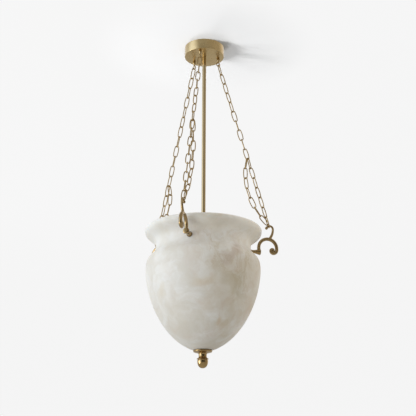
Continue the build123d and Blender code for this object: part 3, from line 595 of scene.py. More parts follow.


# %% [markdown]
# ## The stone's colours
# Each kind of cloud is a noise of its own size, and the veins are the thin places where a noise crosses
# its middle value. They are laid over one another, from the milky ground to the stains. Most of them fade
# on the left, where the light falls, so that side is painted paler and whiter: painted light.


# %% Alabaster
def alabaster_stone():
    material, surface, place = new_material("alabaster_stone")
    flow = flowing(place)
    milk = flow.noise(16.0, 6.0, 0.6).step(0.34, 0.7)
    beige = flow.moved(1.7, 0.4, 0.2).noise(17.0, 6.0, 0.6).step(0.44, 0.76)
    haze = flow.moved(0.2, 2.1, 0.7).noise(13.0, 6.0, 0.6).step(0.4, 0.74)
    pink = flow.moved(2.9, 0.8, 1.1).noise(24.0, 5.0, 0.6).step(0.48, 0.76)
    ridge = flow.moved(0.5, 0.3, 3.3).noise(10.0, 6.0, 0.62) - 0.5
    vein = ridge.math("ABSOLUTE", ridge).step(0.0, 0.03, 1.0, 0.0)
    where = flow.moved(3.0, 1.0, 0.4).noise(6.0, 2.0).step(0.46, 0.66)
    grain = place.noise(420.0, 3.0, 0.6)
    # Painted light: the clouds fade on the lit left side, which paints that side paler.
    painted_light_fade = place.axes()[0].step(-0.09, 0.06, 0.3, 1.0)
    colour = (milk * 0.8).blend(tone(223, 220, 213), tone(241, 242, 242))
    colour = (beige * painted_light_fade * 0.54).blend(colour, tone(210, 196, 174))
    colour = (haze * painted_light_fade * 0.64).blend(colour, tone(204, 192, 168))
    colour = (pink * painted_light_fade * 0.45).blend(colour, tone(212, 192, 178))
    colour = (vein * where * painted_light_fade * 0.4).blend(colour, tone(190, 172, 138))
    # The stains and the painted highlights among them are laid over the stone's colour.
    for centre, size, stretch, share, stain_and_light_colour in STAINS_AND_PAINTED_LIGHT:
        colour = (spot(flow, centre, size, stretch) * share).blend(colour, stain_and_light_colour)
    rough = milk * -0.08 + grain * 0.08 + 0.56
    feed(surface, Base_Color=colour, Roughness=rough, Normal=place.bump(grain, 0.05, 0.0002))
    feed(surface, Specular_IOR_Level=0.4)
    feed(surface, Subsurface_Weight=0.3, Subsurface_Radius=(1.0, 0.9, 0.76), Subsurface_Scale=0.016)
    return material


alabaster = alabaster_stone()
print("alabaster nodes", len(alabaster.node_tree.nodes))

# %% [markdown]
# ## Finishes of the inner pieces
# The fixings, the lampholder and the wiring are seen from above only. Plain colours could do at their
# size, but the lamp may be looked at close by. So zinc-plated steel gets a faint yellow bloom, porcelain
# a glaze, felt a fibre, and the wires their own colours.


# %% Inner finishes
def zinc_steel():
    material, surface, place = new_material("zinc_steel")
    bloom = place.noise(90.0, 3.0, 0.6, 0.5)
    scratch = place.moved(scale=(40, 400, 400)).noise(6.0, 3.0)
    colour = bloom.step(0.35, 0.7).blend(tone(186, 188, 190), tone(198, 192, 176))
    rough = bloom * 0.15 + scratch * 0.12 + 0.18
    feed(surface, Metallic=1.0, Base_Color=colour, Roughness=rough, Normal=place.bump(scratch, 0.1, 0.00005))
    return material


def glazed_porcelain():
    material, surface, place = new_material("glazed_porcelain")
    cloud = place.noise(120.0, 3.0)
    speck = place.noise(2200.0, 2.0).step(0.66, 0.72)
    colour = (speck * 0.35).blend(cloud.blend(tone(236, 232, 222), tone(244, 241, 234)), tone(176, 164, 146))
    feed(surface, Base_Color=colour, Roughness=cloud * 0.08 + 0.12, Coat_Weight=0.5)
    return material


def pressed_felt():
    material, surface, place = new_material("pressed_felt")
    fibre = place.moved(scale=(1, 1, 3)).noise(1800.0, 5.0, 0.75, 1.5)
    colour = fibre.step(0.3, 0.75).blend(tone(92, 84, 72), tone(146, 136, 118))
    feed(surface, Base_Color=colour, Roughness=0.95, Normal=place.bump(fibre, 0.6, 0.0004))
    return material


def opal_glass():
    material, surface, place = new_material("opal_glass")
    cloud = place.noise(40.0, 2.0)
    colour = cloud.blend(tone(240, 238, 232), tone(250, 249, 246))
    feed(surface, Base_Color=colour, Roughness=cloud * 0.05 + 0.1, Coat_Weight=0.4)
    feed(surface, Subsurface_Weight=0.3, Subsurface_Radius=(1.0, 0.95, 0.9), Subsurface_Scale=0.006)
    return material


def moulded_plastic(name, colour, worn, roughness=0.45):
    material, surface, place = new_material(name)
    speck = place.noise(1500.0, 3.0, 0.6)
    soil = place.noise(60.0, 3.0).step(0.45, 0.8)
    shown = (soil * 0.5 + speck * 0.15).blend(colour, worn)
    feed(surface, Base_Color=shown, Roughness=speck * 0.15 + roughness)
    feed(surface, Normal=place.bump(speck, 0.15, 0.0001))
    return material


def earth_insulation():
    material, surface, place = new_material("earth_insulation")
    band = place.axes()[2] * 900.0
    stripe = band.math("SINE", band).step(-0.1, 0.1)
    speck = place.noise(1500.0, 2.0)
    colour = stripe.blend(tone(74, 142, 52), tone(226, 200, 62))
    feed(surface, Base_Color=colour, Roughness=speck * 0.15 + 0.4, Normal=place.bump(speck, 0.1, 0.0001))
    return material


# %% [markdown]
# ## Finishes by slot
# Every CAD node has a slot for its finish. Each slot gets a material, so that the nodes that are not
# modelled again are dressed too.

# %% Finishes by slot
finishes = {
    "brass_satin": satin_brass,
    "brass_antique": cast_brass,
    "brass_chain": chain_brass,
    "brass_polished": polished_brass,
    "brass_plain": plain_brass,
    "alabaster": alabaster,
    "steel": zinc_steel(),
    "porcelain": glazed_porcelain(),
    "felt": pressed_felt(),
    "opal_glass": opal_glass(),
    "bulb_tip": moulded_plastic("black_insulator", tone(24, 24, 26), tone(44, 42, 40), 0.2),
    "terminal_plastic": moulded_plastic("terminal_plastic", tone(232, 228, 216), tone(206, 198, 180)),
    "wire_brown": moulded_plastic("brown_insulation", tone(104, 62, 36), tone(84, 48, 28)),
    "wire_blue": moulded_plastic("blue_insulation", tone(42, 92, 168), tone(32, 72, 136)),
    "wire_green": earth_insulation(),
}
for node, slot in SLOTS.items():
    nodes[node].material_slots[0].material = finishes[slot]
print("finishes on", len(SLOTS), "CAD nodes")

# %% [markdown]
# ## Where things are
# The three arms stand at equal angles around the lamp. Angles and heights could be typed in, but read
# from the frame they follow the CAD model. The first angle comes from the joint at the hook of chain a,
# and the heights come from the boxes of the CAD nodes.

# %% Places from the frame
hook_joint = next(joint for joint in frame["joints"] if joint["name"] == "hook_a_side")
first_angle = degrees(atan2(hook_joint["pos_m"][1], hook_joint["pos_m"][0]))
ARMS = {letter: first_angle + 120 * i for i, letter in enumerate("abc")}


def heights(node):
    """Lowest and highest point of a CAD node, in millimetres."""
    low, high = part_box(node)
    return low.z / MM, high.z / MM


def outward(angle):
    """The direction from the lamp's axis at an angle around it."""
    return Vector((cos(radians(angle)), sin(radians(angle)), 0))


base_z = heights("bowl")[0]
stud_low, stud_high = heights("hook_studs")
neck_z = (stud_low + stud_high) / 2
print("arms at", [round(angle, 2) for angle in ARMS.values()], "neck at", round(neck_z, 2))

# %% [markdown]
# ## The bowl
# The bowl is turned from one block: a pointed belly, a pinched neck and a lip that flares out and is
# rounded over. A sphere could be pulled into this shape by hand, but a turned outline stays true all
# around. It has three curved stretches outside, a round lip, and the same stretches again inside, one
# wall further in. Holes for the three hook studs are drilled through the neck.

# %% Bowl
NECK_RADIUS, RIM_RADIUS, BODY_RADIUS, SEAT_RADIUS = 113.2, 140.0, 136.0, 13.7
BOWL_WALL, LIP_THICKNESS, FLOOR_THICKNESS = 9.5, 10.0, 11.0
BASE_SLOPE, BASE_PULL = radians(14.9), 81.0
LIP_RISE, BELLY_DROP = 38.8, 54.0
BELLY_PULL_DOWN, BELLY_PULL_UP, NECK_PULL_DOWN, NECK_PULL_UP, LIP_PULL = 72.0, 36.0, 28.0, 23.0, 18.0
FINIAL_HOLE, STUD_HOLE, DRILL_START, DRILL_END = 4.3, 2.8, 80, 140
lip_z = neck_z + LIP_RISE
belly_z = neck_z - BELLY_DROP


def bowl_side(inset, foot_z, lip_radius):
    """The bowl's side from its foot to its lip."""
    pull = BASE_PULL - inset
    foot = (SEAT_RADIUS, foot_z)
    foot_pull = (foot[0] + pull * cos(BASE_SLOPE), foot[1] + pull * sin(BASE_SLOPE))
    belly = (BODY_RADIUS - inset, belly_z)
    neck = (NECK_RADIUS - inset, neck_z)
    lip_edge = (lip_radius, lip_z)
    side = curve(foot, foot_pull, (belly[0], belly_z - BELLY_PULL_DOWN), belly, 40)
    side += curve(belly, (belly[0], belly_z + BELLY_PULL_UP), (neck[0], neck_z - NECK_PULL_DOWN), neck, 20)
    side += curve(neck, (neck[0], neck_z + NECK_PULL_UP), (lip_radius, lip_z - LIP_PULL), lip_edge, 18)
    return side


outside = bowl_side(0, base_z, RIM_RADIUS)
inside = bowl_side(BOWL_WALL, base_z + FLOOR_THICKNESS, RIM_RADIUS - LIP_THICKNESS)
lip = arc((RIM_RADIUS - LIP_THICKNESS / 2, lip_z), LIP_THICKNESS / 2, 0, 180, 12)
hole = [(FINIAL_HOLE, base_z + FLOOR_THICKNESS), (FINIAL_HOLE, base_z)]
bowl = turned(hole[1:] + outside + lip + inside[::-1] + hole, 192)
for angle in ARMS.values():
    level = Vector((0, 0, neck_z))
    cut(bowl, drill(STUD_HOLE, outward(angle) * DRILL_START + level, outward(angle) * DRILL_END + level))
finished(bowl, "alabaster_bowl", alabaster, "bowl", 40)

# %% [markdown]
# ## The canopy
# The canopy is a drum spun from brass sheet, with a tight radius at its lower edge. A cylinder with a
# bevelled edge could pass for it from below. It is turned as a thin-walled cup, because its inside shows
# from above. The rod's hole is part of the outline, and the holes of the three eyes and the two set
# screws are drilled.

# %% Canopy
CANOPY_RADIUS, CANOPY_HEIGHT, CANOPY_WALL, CANOPY_EDGE = 50.0, 26.0, 1.5, 0.9
ROD_RADIUS, EYE_CIRCLE, EYE_SHANK, SCREW_DROP, SCREW_HOLE = 5.0, 37.0, 2.0, 9.0, 2.1
EDGE_BREAK, INNER_CHAMFER, PLAY, PLATE_RING = 0.3, 0.8, 0.1, 20
DRILL_LOW, DRILL_HIGH, DRILL_INSIDE, DRILL_OUTSIDE = -30, -20, 40, 60
plate_z = CANOPY_WALL - CANOPY_HEIGHT
edge_centre = (CANOPY_RADIUS - CANOPY_EDGE, CANOPY_EDGE - CANOPY_HEIGHT)
inner_radius = CANOPY_RADIUS - CANOPY_WALL
rod_hole = ROD_RADIUS + PLAY
cup = [(inner_radius, 0), (CANOPY_RADIUS - EDGE_BREAK, 0), (CANOPY_RADIUS, -EDGE_BREAK)]
cup += arc(edge_centre, CANOPY_EDGE, 0, -90, 6)
cup += [(PLATE_RING, -CANOPY_HEIGHT), (rod_hole, -CANOPY_HEIGHT), (rod_hole, plate_z), (PLATE_RING, plate_z)]
cup += [(inner_radius - INNER_CHAMFER, plate_z), (inner_radius, plate_z + INNER_CHAMFER), (inner_radius, 0)]
canopy = turned(cup, 144)
for angle in ARMS.values():
    eye = outward(angle) * EYE_CIRCLE
    cut(canopy, drill(EYE_SHANK + PLAY, (eye.x, eye.y, DRILL_LOW), (eye.x, eye.y, DRILL_HIGH)))
for side in (-1, 1):
    from_inside, to_outside = (side * DRILL_INSIDE, 0, -SCREW_DROP), (side * DRILL_OUTSIDE, 0, -SCREW_DROP)
    cut(canopy, drill(SCREW_HOLE, from_inside, to_outside))
finished(canopy, "spun_canopy", satin_brass, "canopy_cup", 30)

# %% [markdown]
# ## The rod
# The rod is a brass tube, ten millimetres across. A cylinder could stand for it, but its ends would be
# sharp and closed, so the tube is turned too, with a small chamfer at both ends.

# %% Rod
ROD_WALL, ROD_CHAMFER = 1.25, 0.4
rod_low, rod_high = heights("rod")
bore = ROD_RADIUS - ROD_WALL
tube = [(bore, rod_high), (ROD_RADIUS - ROD_CHAMFER, rod_high), (ROD_RADIUS, rod_high - ROD_CHAMFER)]
tube += [(ROD_RADIUS, rod_low + ROD_CHAMFER), (ROD_RADIUS - ROD_CHAMFER, rod_low)]
tube += [(bore, rod_low), (bore, rod_high)]
rod = turned(tube, 64)
finished(rod, "brass_rod", drawn_brass, "rod", 30)

# %% [markdown]
# ## The screw eyes
# Each chain hangs from an eye: a ball against the canopy, a short neck, and a ring of wire that stands
# in the plane of its chain. An eye could be one bent bar, but ball and neck have their own widths. So
# they are turned in one outline, from the shank inside the canopy down, and the ring is a torus whose
# top sinks into the neck.

# %% Eyes
EYE_WIRE, EYE_RING, EYE_BALL, BALL_DROP = 2.4, 4.3, 4.3, 3.5
EYE_NECK, NECK_LENGTH, NECK_ROUND, EYE_SINK = 2.2, 11.6, 0.5, 1.0
EYE_NUT_HEIGHT, SHANK_OVER_NUT, WAIST_ANGLE, WAIST_LENGTH = 3.2, 1.5, -48, 2.0
shank_top = plate_z + EYE_NUT_HEIGHT + SHANK_OVER_NUT
ball_z = -CANOPY_HEIGHT - BALL_DROP
neck_end = -CANOPY_HEIGHT - NECK_LENGTH
ring_z = neck_end + EYE_SINK - EYE_RING - EYE_WIRE / 2
flat_angle = degrees(asin(BALL_DROP / EYE_BALL))
stalk = [(0, shank_top), (EYE_SHANK - EDGE_BREAK, shank_top), (EYE_SHANK, shank_top - EDGE_BREAK)]
stalk += [(EYE_SHANK, -CANOPY_HEIGHT)]
stalk += arc((0, ball_z), EYE_BALL, flat_angle, WAIST_ANGLE, 16)
waist = stalk[-1]
waist_end = (EYE_NECK, waist[1] - WAIST_LENGTH)
stalk += curve(waist, (EYE_NECK + 0.2, waist[1] - 0.7), (EYE_NECK, waist[1] - 0.9), waist_end, 6)
stalk += [(EYE_NECK, neck_end + NECK_ROUND), (EYE_NECK - NECK_ROUND, neck_end), (0, neck_end)]
eye_stalk = set_down(turned(stalk, 32), move=(EYE_CIRCLE, 0, 0))
pick()
bpy.ops.mesh.primitive_torus_add(
    major_radius=EYE_RING * MM, minor_radius=EYE_WIRE / 2 * MM, major_segments=48, minor_segments=16
)
eye_ring = set_down(bpy.context.object, move=(EYE_CIRCLE, 0, ring_z), turn=(90, 0, 0))
screw_eye = joined([eye_stalk, eye_ring])
for letter, angle in ARMS.items():
    eye = set_down(twin(screw_eye), turn=(0, 0, angle))
    finished(eye, f"screw_eye_{letter}", eye_brass, f"canopy_eye_{letter}", 40)
bpy.data.objects.remove(screw_eye)

# %% [markdown]
# ## Bars along a path
# Chain links and hooks are round bars that were bent. A bar could be extruded ring by ring, but a curve
# with a round bevel keeps its section square to the path by itself. A path is written as a pen would
# draw it, as a start, a heading and a row of arcs, and the bevelled curve is turned into a mesh.


# %% Paths and bars
def trace(start, heading, moves):
    """Points of a path of arcs. A move is a radius and a sweep, left positive, or a length and 0."""
    x, z = start
    turn = radians(heading)
    points = [(x, z)]
    for size, sweep in moves:
        if sweep == 0:
            x, z = x + size * cos(turn), z + size * sin(turn)
            points.append((x, z))
            continue
        side = 1 if sweep > 0 else -1
        centre = (x - side * size * sin(turn), z + side * size * cos(turn))
        steps = max(2, round(abs(sweep) / 6))
        for i in range(1, steps + 1):
            now = turn + radians(sweep) * i / steps
            points.append((centre[0] + side * size * sin(now), centre[1] - side * size * cos(now)))
        turn = turn + radians(sweep)
        x, z = points[-1]
    return points


def rolled(points, widths):
    """A round bar along a path in the plane of an arm, whose width goes through the given widths."""
    pick()
    bpy.ops.curve.primitive_nurbs_path_add()
    bar = bpy.context.object
    bar.data.splines.clear()
    spline = bar.data.splines.new("POLY")
    spline.points.add(len(points) - 1)
    gaps = [0] + [hypot(b[0] - a[0], b[1] - a[1]) for a, b in zip(points, points[1:])]
    share = np.cumsum(gaps) / sum(gaps)
    width = np.interp(share, np.linspace(0, 1, len(widths)), widths)
    for knot, (x, z), size in zip(spline.points, points, width):
        knot.co = (x * MM, 0, z * MM, 1)
        knot.radius = size / 2
    bar.data.dimensions = "3D"
    bar.data.bevel_depth = MM
    bar.data.bevel_resolution = 6
    bar.data.use_fill_caps = True
    bpy.ops.object.convert(target="MESH")
    return bpy.context.object


# %% [markdown]
# ## The chains
# A link is bent from wire to an oval of two tight and two wide arcs, and the wire's ends meet in a butt
# joint on one side, with a hair's gap. An array along a line could repeat it, but each chain has a slack
# run, and its links lean. So the place of each link comes from the CAD model: a copy of a chain's mesh is
# split into its links, and the long, wide and flat directions of each one place a copy of the link.


# %% Chain links
def link_places(node):
    """Centre, directions and sizes of each link in a chain's CAD node."""
    split = twin(nodes[node])
    split.hide_set(False)
    bpy.ops.object.mode_set(mode="EDIT")
    bpy.ops.mesh.select_all(action="SELECT")
    bpy.ops.mesh.remove_doubles(threshold=0.001 * MM)
    bpy.ops.mesh.separate(type="LOOSE")
    bpy.ops.object.mode_set(mode="OBJECT")
    places = []
    for part in list(bpy.context.selected_objects):
        points = np.array([vertex.co for vertex in part.data.vertices])
        centre = (points.min(0) + points.max(0)) / 2
        for _ in range(3):
            axes = np.linalg.svd(points - centre, full_matrices=False)[2]
            along = (points - centre) @ axes.T
            centre = centre + ((along.min(0) + along.max(0)) / 2) @ axes
        places.append((Vector(centre), [Vector(axis) for axis in axes], np.ptp(along, axis=0)))
        bpy.data.objects.remove(part)
    return places


LINK_END, JOINT_GAP = 4.6, 0.12
link_length, link_width, WIRE = link_places("chain_a_top_link")[0][2] / MM
half_width = (link_width - WIRE) / 2
end_x = (link_length - WIRE) / 2 - LINK_END
bow = half_width - LINK_END
side_radius = (end_x**2 + bow**2) / (2 * bow) + LINK_END
side_turn = degrees(atan2(end_x, side_radius - half_width))
half_side = (side_radius, side_turn)
tight_end = (LINK_END, 180 - 2 * side_turn)
loop = trace((0, -half_width), 0, [half_side, tight_end, half_side, half_side, tight_end, half_side])
loop[0] = (JOINT_GAP / 2, -half_width)
loop[-1] = (-JOINT_GAP / 2, -half_width)
link = set_down(rolled(loop, [WIRE, WIRE]), turn=(90, 0, 0))
print("link", round(link_length, 2), "by", round(link_width, 2), "wire", round(WIRE, 3))

for letter in ARMS:
    for strand in ("top_link", "upper", "taut", "return", "bottom_link"):
        node = f"chain_{letter}_{strand}"
        copies = []
        for centre, axes, size in link_places(node):
            copy = twin(link)
            frame_of_link = Matrix((axes[0], axes[1], axes[0].cross(axes[1]))).transposed().to_4x4()
            copy.matrix_world = Matrix.Translation(centre) @ frame_of_link
            pick(copy)
            bpy.ops.object.transform_apply()
            copies.append(copy)
        finished(joined(copies), f"{node}_wire", chain_brass, node, 60)
bpy.data.objects.remove(link)

# %% [markdown]
# ## The scroll hooks
# Each hook is cast in one piece: a trumpet-shaped foot, an arm that rises, rolls over and ends in a
# small volute, and a thin finger on top that takes the chain and ends in a ball. First come the paths of
# the arm and the finger, and a tool that shades the hollows of a piece, where patina would gather.


# %% Paths of a hook
def ball(place, diameter):
    pick()
    bpy.ops.mesh.primitive_uv_sphere_add(
        segments=32, ring_count=20, radius=diameter / 2 * MM, location=(place[0] * MM, 0, place[1] * MM)
    )
    bpy.ops.object.transform_apply()
    return bpy.context.object


def crevice_map(piece):
    """Shades the hollows of a piece dark in a colour attribute that its finish reads."""
    pick(piece)
    bpy.ops.object.mode_set(mode="VERTEX_PAINT")
    bpy.ops.paint.vertex_color_dirt(blur_strength=1.0, blur_iterations=4, clean_angle=pi, dirt_angle=0)
    bpy.ops.object.mode_set(mode="OBJECT")
    piece.data.color_attributes[0].name = "crevice"


FELT, ROSETTE = 1.2, 3.0
CREST_RADIUS, ARCH_RADIUS, ARCH_SWEEP, FINGER_HEADING = 22.8, 8.3, 165, 48.0
CREST_RISE, ARCH_RISE, ARCH_REACH, ARM_INSET, FOOT_REACH = 34.4, 60.2, 27.5, 1.0, 1.4
VOLUTE = [(3.5, 0), (9.0, -90), (6.3, -90), (4.4, -90), (3.2, -90), (2.4, -60)]
foot_face = NECK_RADIUS + FELT + ROSETTE
foot_end = RIM_RADIUS + FOOT_REACH
crest_z = neck_z + CREST_RISE
arch_z = neck_z + ARCH_RISE
arch_x = RIM_RADIUS + ARCH_REACH
rise = crest_z - CREST_RADIUS - neck_z
arm_path = trace((RIM_RADIUS - ARM_INSET, neck_z), 90, [(rise, 0), (CREST_RADIUS, -180), *VOLUTE])
finger_radius = (arch_z - crest_z) / cos(radians(FINGER_HEADING))
finger_x = arch_x + ARCH_RADIUS - finger_radius * (1 - sin(radians(FINGER_HEADING)))
finger_moves = [(finger_radius, 90 - FINGER_HEADING), (ARCH_RADIUS, ARCH_SWEEP)]
finger_path = trace((finger_x, crest_z), FINGER_HEADING, finger_moves)
print("hook crest at", round(crest_z, 2), "finger's top at", round(arch_z, 2))

# %% [markdown]
# ## Casting the hook
# Foot, arm, finger and end balls are made one by one. Boolean unions could join them, but would leave
# hard edges. A remesh gives them one skin instead, and a little smoothing rounds the places where they
# meet, as in a casting.

# %% Cast hooks
FOOT_FACE_RADIUS, FOOT_END_RADIUS, FOOT_CAP, STUD_SOCKET = 5.5, 7.5, 2.0, 2.6
ARM_WIDTHS = [8.6, 8.2, 8.2, 8.4, 8.6, 8.7, 8.6, 8.4, 8.2, 7.0, 4.6]
FINGER_WIDTHS = [7.4, 6.6, 5.8, 5.3, 5.0, 4.9]
VOLUTE_BALL, FINGER_BALL, VOXEL = 5.4, 7.6, 0.42
SOCKET_DEPTH, DRILL_BEFORE, SMOOTHING = 12, 5, 6
foot_start, foot_rim = (FOOT_FACE_RADIUS, foot_face), (FOOT_END_RADIUS, foot_end)
cap_z = foot_end + FOOT_CAP
foot = [(0, foot_face), foot_start]
foot += curve(foot_start, (2.2, foot_face + 6.0), (4.3, foot_face + 12.0), foot_rim, 16)
foot += curve(foot_rim, (FOOT_END_RADIUS, cap_z), (3.7, cap_z), (0, cap_z), 10)
hook = joined(
    [
        set_down(turned(foot, 48), move=(0, 0, neck_z), turn=(0, 90, 0)),
        rolled(arm_path, ARM_WIDTHS),
        ball(arm_path[-1], VOLUTE_BALL),
        rolled(finger_path, FINGER_WIDTHS),
        ball(finger_path[-1], FINGER_BALL),
    ]
)
pick(hook)
melt = hook.modifiers.new("melt", "REMESH")
melt.mode = "VOXEL"
melt.voxel_size = VOXEL * MM
bpy.ops.object.modifier_apply(modifier="melt")
soften = hook.modifiers.new("soften", "SMOOTH")
soften.factor = 0.5
soften.iterations = SMOOTHING
bpy.ops.object.modifier_apply(modifier="soften")
crevice_map(hook)
socket_start, socket_end = (foot_face - DRILL_BEFORE, 0, neck_z), (foot_face + SOCKET_DEPTH, 0, neck_z)
cut(hook, drill(STUD_SOCKET, socket_start, socket_end))
for letter, angle in ARMS.items():
    copy = set_down(twin(hook), turn=(0, 0, angle))
    finished(copy, f"cast_hook_{letter}", cast_brass, f"scroll_hook_{letter}", 60)
bpy.data.objects.remove(hook)

# %% [markdown]
# ## Rosettes
# A small rounded flange sits between each hook and the felt on the bowl's neck. All three are the same,
# so one is turned, laid on its side and copied around the lamp. A crevice map darkens its step.

# %% Rosettes
ROSETTE_BACK, ROSETTE_EDGE, ROSETTE_STEP, ROSETTE_FRONT, STEP_RISE = 5.6, 6.9, 6.0, 4.8, 1.9
felt_face = NECK_RADIUS + FELT
back, step = (ROSETTE_BACK, felt_face), (ROSETTE_STEP, felt_face + STEP_RISE)
rosette = [(STUD_SOCKET, felt_face), back]
rosette += curve(back, (ROSETTE_EDGE, felt_face), (ROSETTE_EDGE, felt_face + 1.6), step, 8)
rosette += curve(step, (5.2, felt_face + 2.1), (5.6, foot_face), (ROSETTE_FRONT, foot_face), 8)
rosette += [(STUD_SOCKET, foot_face), (STUD_SOCKET, felt_face)]
rosettes = around(set_down(turned(rosette, 48), move=(0, 0, neck_z), turn=(0, 90, 0)), ARMS.values())
crevice_map(rosettes)
finished(rosettes, "hook_rosette_rings", cast_brass, "hook_rosettes", 50)

# %% [markdown]
# ## The finial's flange
# Two polished, turned pieces close the bowl. The upper one is a dished flange with a rounded edge that
# draws in to a neck. Straight steps could do for a dull piece, but a polished one shows every flat, so
# the outline is made of an arc and a curve.

# %% Finial flange
FLANGE_RADIUS, FLANGE_NECK, FLANGE_EDGE, STUD_BORE, GASKET = 22.0, 9.4, 1.7, 4.1, 1.0
flange_end, flange_rim = heights("finial_flange")
seat_z = base_z - GASKET
flange = [(STUD_BORE, seat_z), (SEAT_RADIUS, seat_z), (FLANGE_RADIUS - 0.4, flange_rim - 0.1)]
flange += arc((FLANGE_RADIUS - FLANGE_EDGE, flange_rim - 1.75), FLANGE_EDGE, 40, -75, 10)
dish_end = (FLANGE_NECK, flange_end + 4.2)
dish_start, dish_pull = (17.4, flange_rim - 4.3), (11.4, flange_rim - 4.9)
flange += curve(dish_start, dish_pull, (FLANGE_NECK, flange_rim - 6.4), dish_end, 14)
flange += [(FLANGE_NECK, flange_end), (STUD_BORE, flange_end), (STUD_BORE, seat_z)]
finished(turned(flange, 96), "finial_dish", polished_brass, "finial_flange", 30)

# %% [markdown]
# ## The finial's knob
# The lower one is an acorn under a flared collar, with a fine groove between them. It is turned in one
# outline. The bore for the stud ends inside the knob, so it is drilled afterwards.

# %% Finial knob
COLLAR_DROP, ACORN_DROP, KNOB_BORE, GROOVE_RADIUS, ACORN_RADIUS = 4.9, 7.6, 14.3, 11.3, 12.5
tip_z, knob_top = heights("finial_knob")
collar_z = knob_top - COLLAR_DROP
acorn_z = knob_top - ACORN_DROP
acorn_top, acorn_side = (GROOVE_RADIUS, acorn_z + 0.6), (ACORN_RADIUS, acorn_z - 3.6)
knob = [(0, knob_top), (FLANGE_NECK, knob_top)]
collar = (13.3, collar_z + 0.5)
flare = (FLANGE_NECK + 0.2, knob_top - 1.8)
knob += curve((FLANGE_NECK, knob_top), flare, (11.6, collar_z + 1.4), collar, 10)
knob += arc((13.1, collar_z - 0.2), 0.7, 70, -80, 8)
knob += [(11.9, collar_z - 1.3), (GROOVE_RADIUS, collar_z - 1.6), acorn_top]
knob += curve(acorn_top, (12.2, acorn_z + 0.5), (12.6, acorn_z - 0.6), acorn_side, 10)
knob += curve(acorn_side, (12.3, tip_z + 5.6), (7.4, tip_z), (0, tip_z), 18)
acorn = turned(knob, 96)
cut(acorn, drill(STUD_BORE, (0, 0, knob_top + 3), (0, 0, knob_top - KNOB_BORE)))
finished(acorn, "finial_acorn", polished_brass, "finial_knob", 30)

# %% [markdown]
# ## Set screws
# Two slotted screws hold the canopy to its bracket, flush with its wall. A dark line could stand for the
# slot, but only a cut one shows from the side. Each screw is turned with broken edges, and the slot is
# cut across its outer end.

# %% Set screws
SCREW_RADIUS, SCREW_LENGTH, SCREW_CHAMFER, SLOT_WIDTH, SLOT_DEPTH = 2.0, 6.0, 0.4, 0.6, 1.1
screw_end = CANOPY_RADIUS - SCREW_LENGTH
grub = [(0, screw_end), (SCREW_RADIUS - SCREW_CHAMFER, screw_end), (SCREW_RADIUS, screw_end + SCREW_CHAMFER)]
grub += [(SCREW_RADIUS, CANOPY_RADIUS - EDGE_BREAK), (SCREW_RADIUS - EDGE_BREAK, CANOPY_RADIUS)]
grub += [(0, CANOPY_RADIUS)]
screw = set_down(turned(grub, 32), move=(0, 0, -SCREW_DROP), turn=(0, 90, 0))
pick()
bpy.ops.mesh.primitive_cube_add(size=MM, location=(CANOPY_RADIUS * MM, 0, -SCREW_DROP * MM))
slot_cutter = bpy.context.object
slot_cutter.scale = (2 * SLOT_DEPTH, 3 * SCREW_RADIUS, SLOT_WIDTH)
bpy.ops.object.transform_apply()
screws = around(cut(screw, slot_cutter), (0, 180))
finished(screws, "slotted_set_screws", finishes["steel"], "canopy_screws", 30)

# %% [markdown]
# ## Nuts
# A nut is a six-sided bar with its corners turned off. A plain prism could stand for it, but its sharp
# corners would give it away. So it is what a turned disc with sloping edges and a hexagonal prism share,
# bored through. One function makes all the sizes.


# %% Nuts
def hex_nut(flats, height, bore):
    """A nut that stands on the origin, with the lamp's axis through its bore."""
    corner = flats / 2 / cos(radians(30))
    slope = 0.7 * (corner - flats / 2)
    disc = [(0, 0), (flats / 2, 0), (corner + 0.01, slope), (corner + 0.01, height - slope)]
    disc += [(flats / 2, height), (0, height)]
    nut = turned(disc, 48)
    pick()
    bpy.ops.mesh.primitive_cylinder_add(vertices=6, radius=corner * MM, depth=3 * height * MM)
    prism = set_down(bpy.context.object, turn=(0, 0, 30))
    cut(nut, prism, "INTERSECT")
    return cut(nut, drill(bore, (0, 0, -height), (0, 0, 2 * height)))


def fit_nuts(nut, name, node):
    finished(nut, name, finishes[SLOTS[node]], node, 25)


# The sizes of a nut are its width over flats, its height and the radius of its bore.
HOOK_NUT, FINIAL_NUT = (8.0, 4.0, 2.6), (13.0, 6.5, 4.1)
LOCKNUT, EYE_NUT = (17.0, 5.0, 5.1), (7.0, EYE_NUT_HEIGHT, 2.1)
HOOK_WASHER = 1.2
nut_seat = NECK_RADIUS - BOWL_WALL - FELT - HOOK_WASHER
hook_nut = set_down(hex_nut(*HOOK_NUT), move=(nut_seat - HOOK_NUT[1], 0, neck_z), turn=(0, 90, 0))
fit_nuts(around(hook_nut, ARMS.values()), "hook_stud_nuts", "hook_nuts")
finial_nut = set_down(hex_nut(*FINIAL_NUT), move=(0, 0, heights("finial_nut")[0]))
fit_nuts(finial_nut, "finial_stud_nut", "finial_nut")
locknut = set_down(hex_nut(*LOCKNUT), move=(0, 0, heights("rod_locknut")[0]))
fit_nuts(locknut, "rod_nut", "rod_locknut")
eye_nut = set_down(hex_nut(*EYE_NUT), move=(EYE_CIRCLE, 0, plate_z))
fit_nuts(around(eye_nut, ARMS.values()), "eye_shank_nuts", "eye_nuts")

# %% [markdown]
# ## The lampholder's cap
# The lampholder hangs inside the bowl at the rod's end: a domed cap that screws on the rod and a
# straight skirt. Both are thin brass shells with rolled grooves, so both are turned.

# %% Lampholder cap
HOLDER_RADIUS, HOLDER_WALL, HOLDER_BOSS, BOSS_ROUND, BOSS_FILLET = 19.5, 1.2, 8.0, 0.6, 0.8
GROOVE_DEPTH, GROOVE_DROPS, CAP_BAND, CAP_GROOVE = 0.45, (0, 0.6, 1.0, 1.6), 4.0, 2.4
holder_inside = HOLDER_RADIUS - HOLDER_WALL


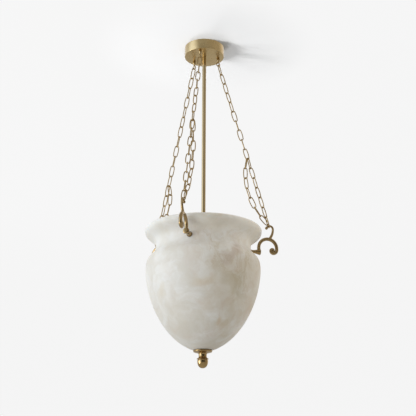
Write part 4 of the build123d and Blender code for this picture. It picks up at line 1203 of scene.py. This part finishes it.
def ring_groove(height):
    """A rolled groove in the lampholder's outside, from its upper edge at this height."""
    deep = HOLDER_RADIUS - GROOVE_DEPTH
    radii = (HOLDER_RADIUS, deep, deep, HOLDER_RADIUS)
    return [(radius, height - drop) for radius, drop in zip(radii, GROOVE_DROPS)]


cap_low, cap_high = heights("lampholder_cap")
dome_z = rod_low
under_z = dome_z - HOLDER_WALL
shell = [(rod_hole, cap_high), (HOLDER_BOSS - BOSS_ROUND, cap_high), (HOLDER_BOSS, cap_high - BOSS_ROUND)]
shell += [(HOLDER_BOSS, dome_z + BOSS_FILLET)]
corner = (HOLDER_RADIUS, dome_z)
shell += curve((HOLDER_BOSS + BOSS_ROUND, dome_z), corner, corner, (HOLDER_RADIUS, cap_low + CAP_BAND), 18)
shell += ring_groove(cap_low + CAP_GROOVE) + [(HOLDER_RADIUS, cap_low), (holder_inside, cap_low)]
corner = (holder_inside, under_z)
shell += curve((holder_inside, cap_low), corner, corner, (HOLDER_BOSS, under_z), 14)
shell += [(rod_hole, under_z), (rod_hole, cap_high)]
finished(turned(shell, 64), "lampholder_dome", satin_brass, "lampholder_cap", 30)

# %% [markdown]
# ## The lampholder's skirt
# The skirt goes on below the cap with the same wall. It has two grooves near its top and one lower down.

# %% Lampholder skirt
UPPER_GROOVES, LOWER_GROOVE, SKIRT_CHAMFER = (3.0, 6.0), 4.0, 0.5
skirt_low, skirt_high = heights("lampholder_skirt")
sleeve = [(holder_inside, skirt_high), (HOLDER_RADIUS, skirt_high)]
for drop in UPPER_GROOVES:
    sleeve += ring_groove(skirt_high - drop)
sleeve += ring_groove(skirt_low + LOWER_GROOVE)
sleeve += [(HOLDER_RADIUS, skirt_low + SKIRT_CHAMFER), (HOLDER_RADIUS - SKIRT_CHAMFER, skirt_low)]
sleeve += [(holder_inside, skirt_low), (holder_inside, skirt_high)]
finished(turned(sleeve, 64), "lampholder_sleeve", satin_brass, "lampholder_skirt", 30)

# %% [markdown]
# ## View transform
# The render shows its colours through the Standard view transform.

# %% Standard view transform
bpy.context.scene.view_settings.view_transform = "Standard"
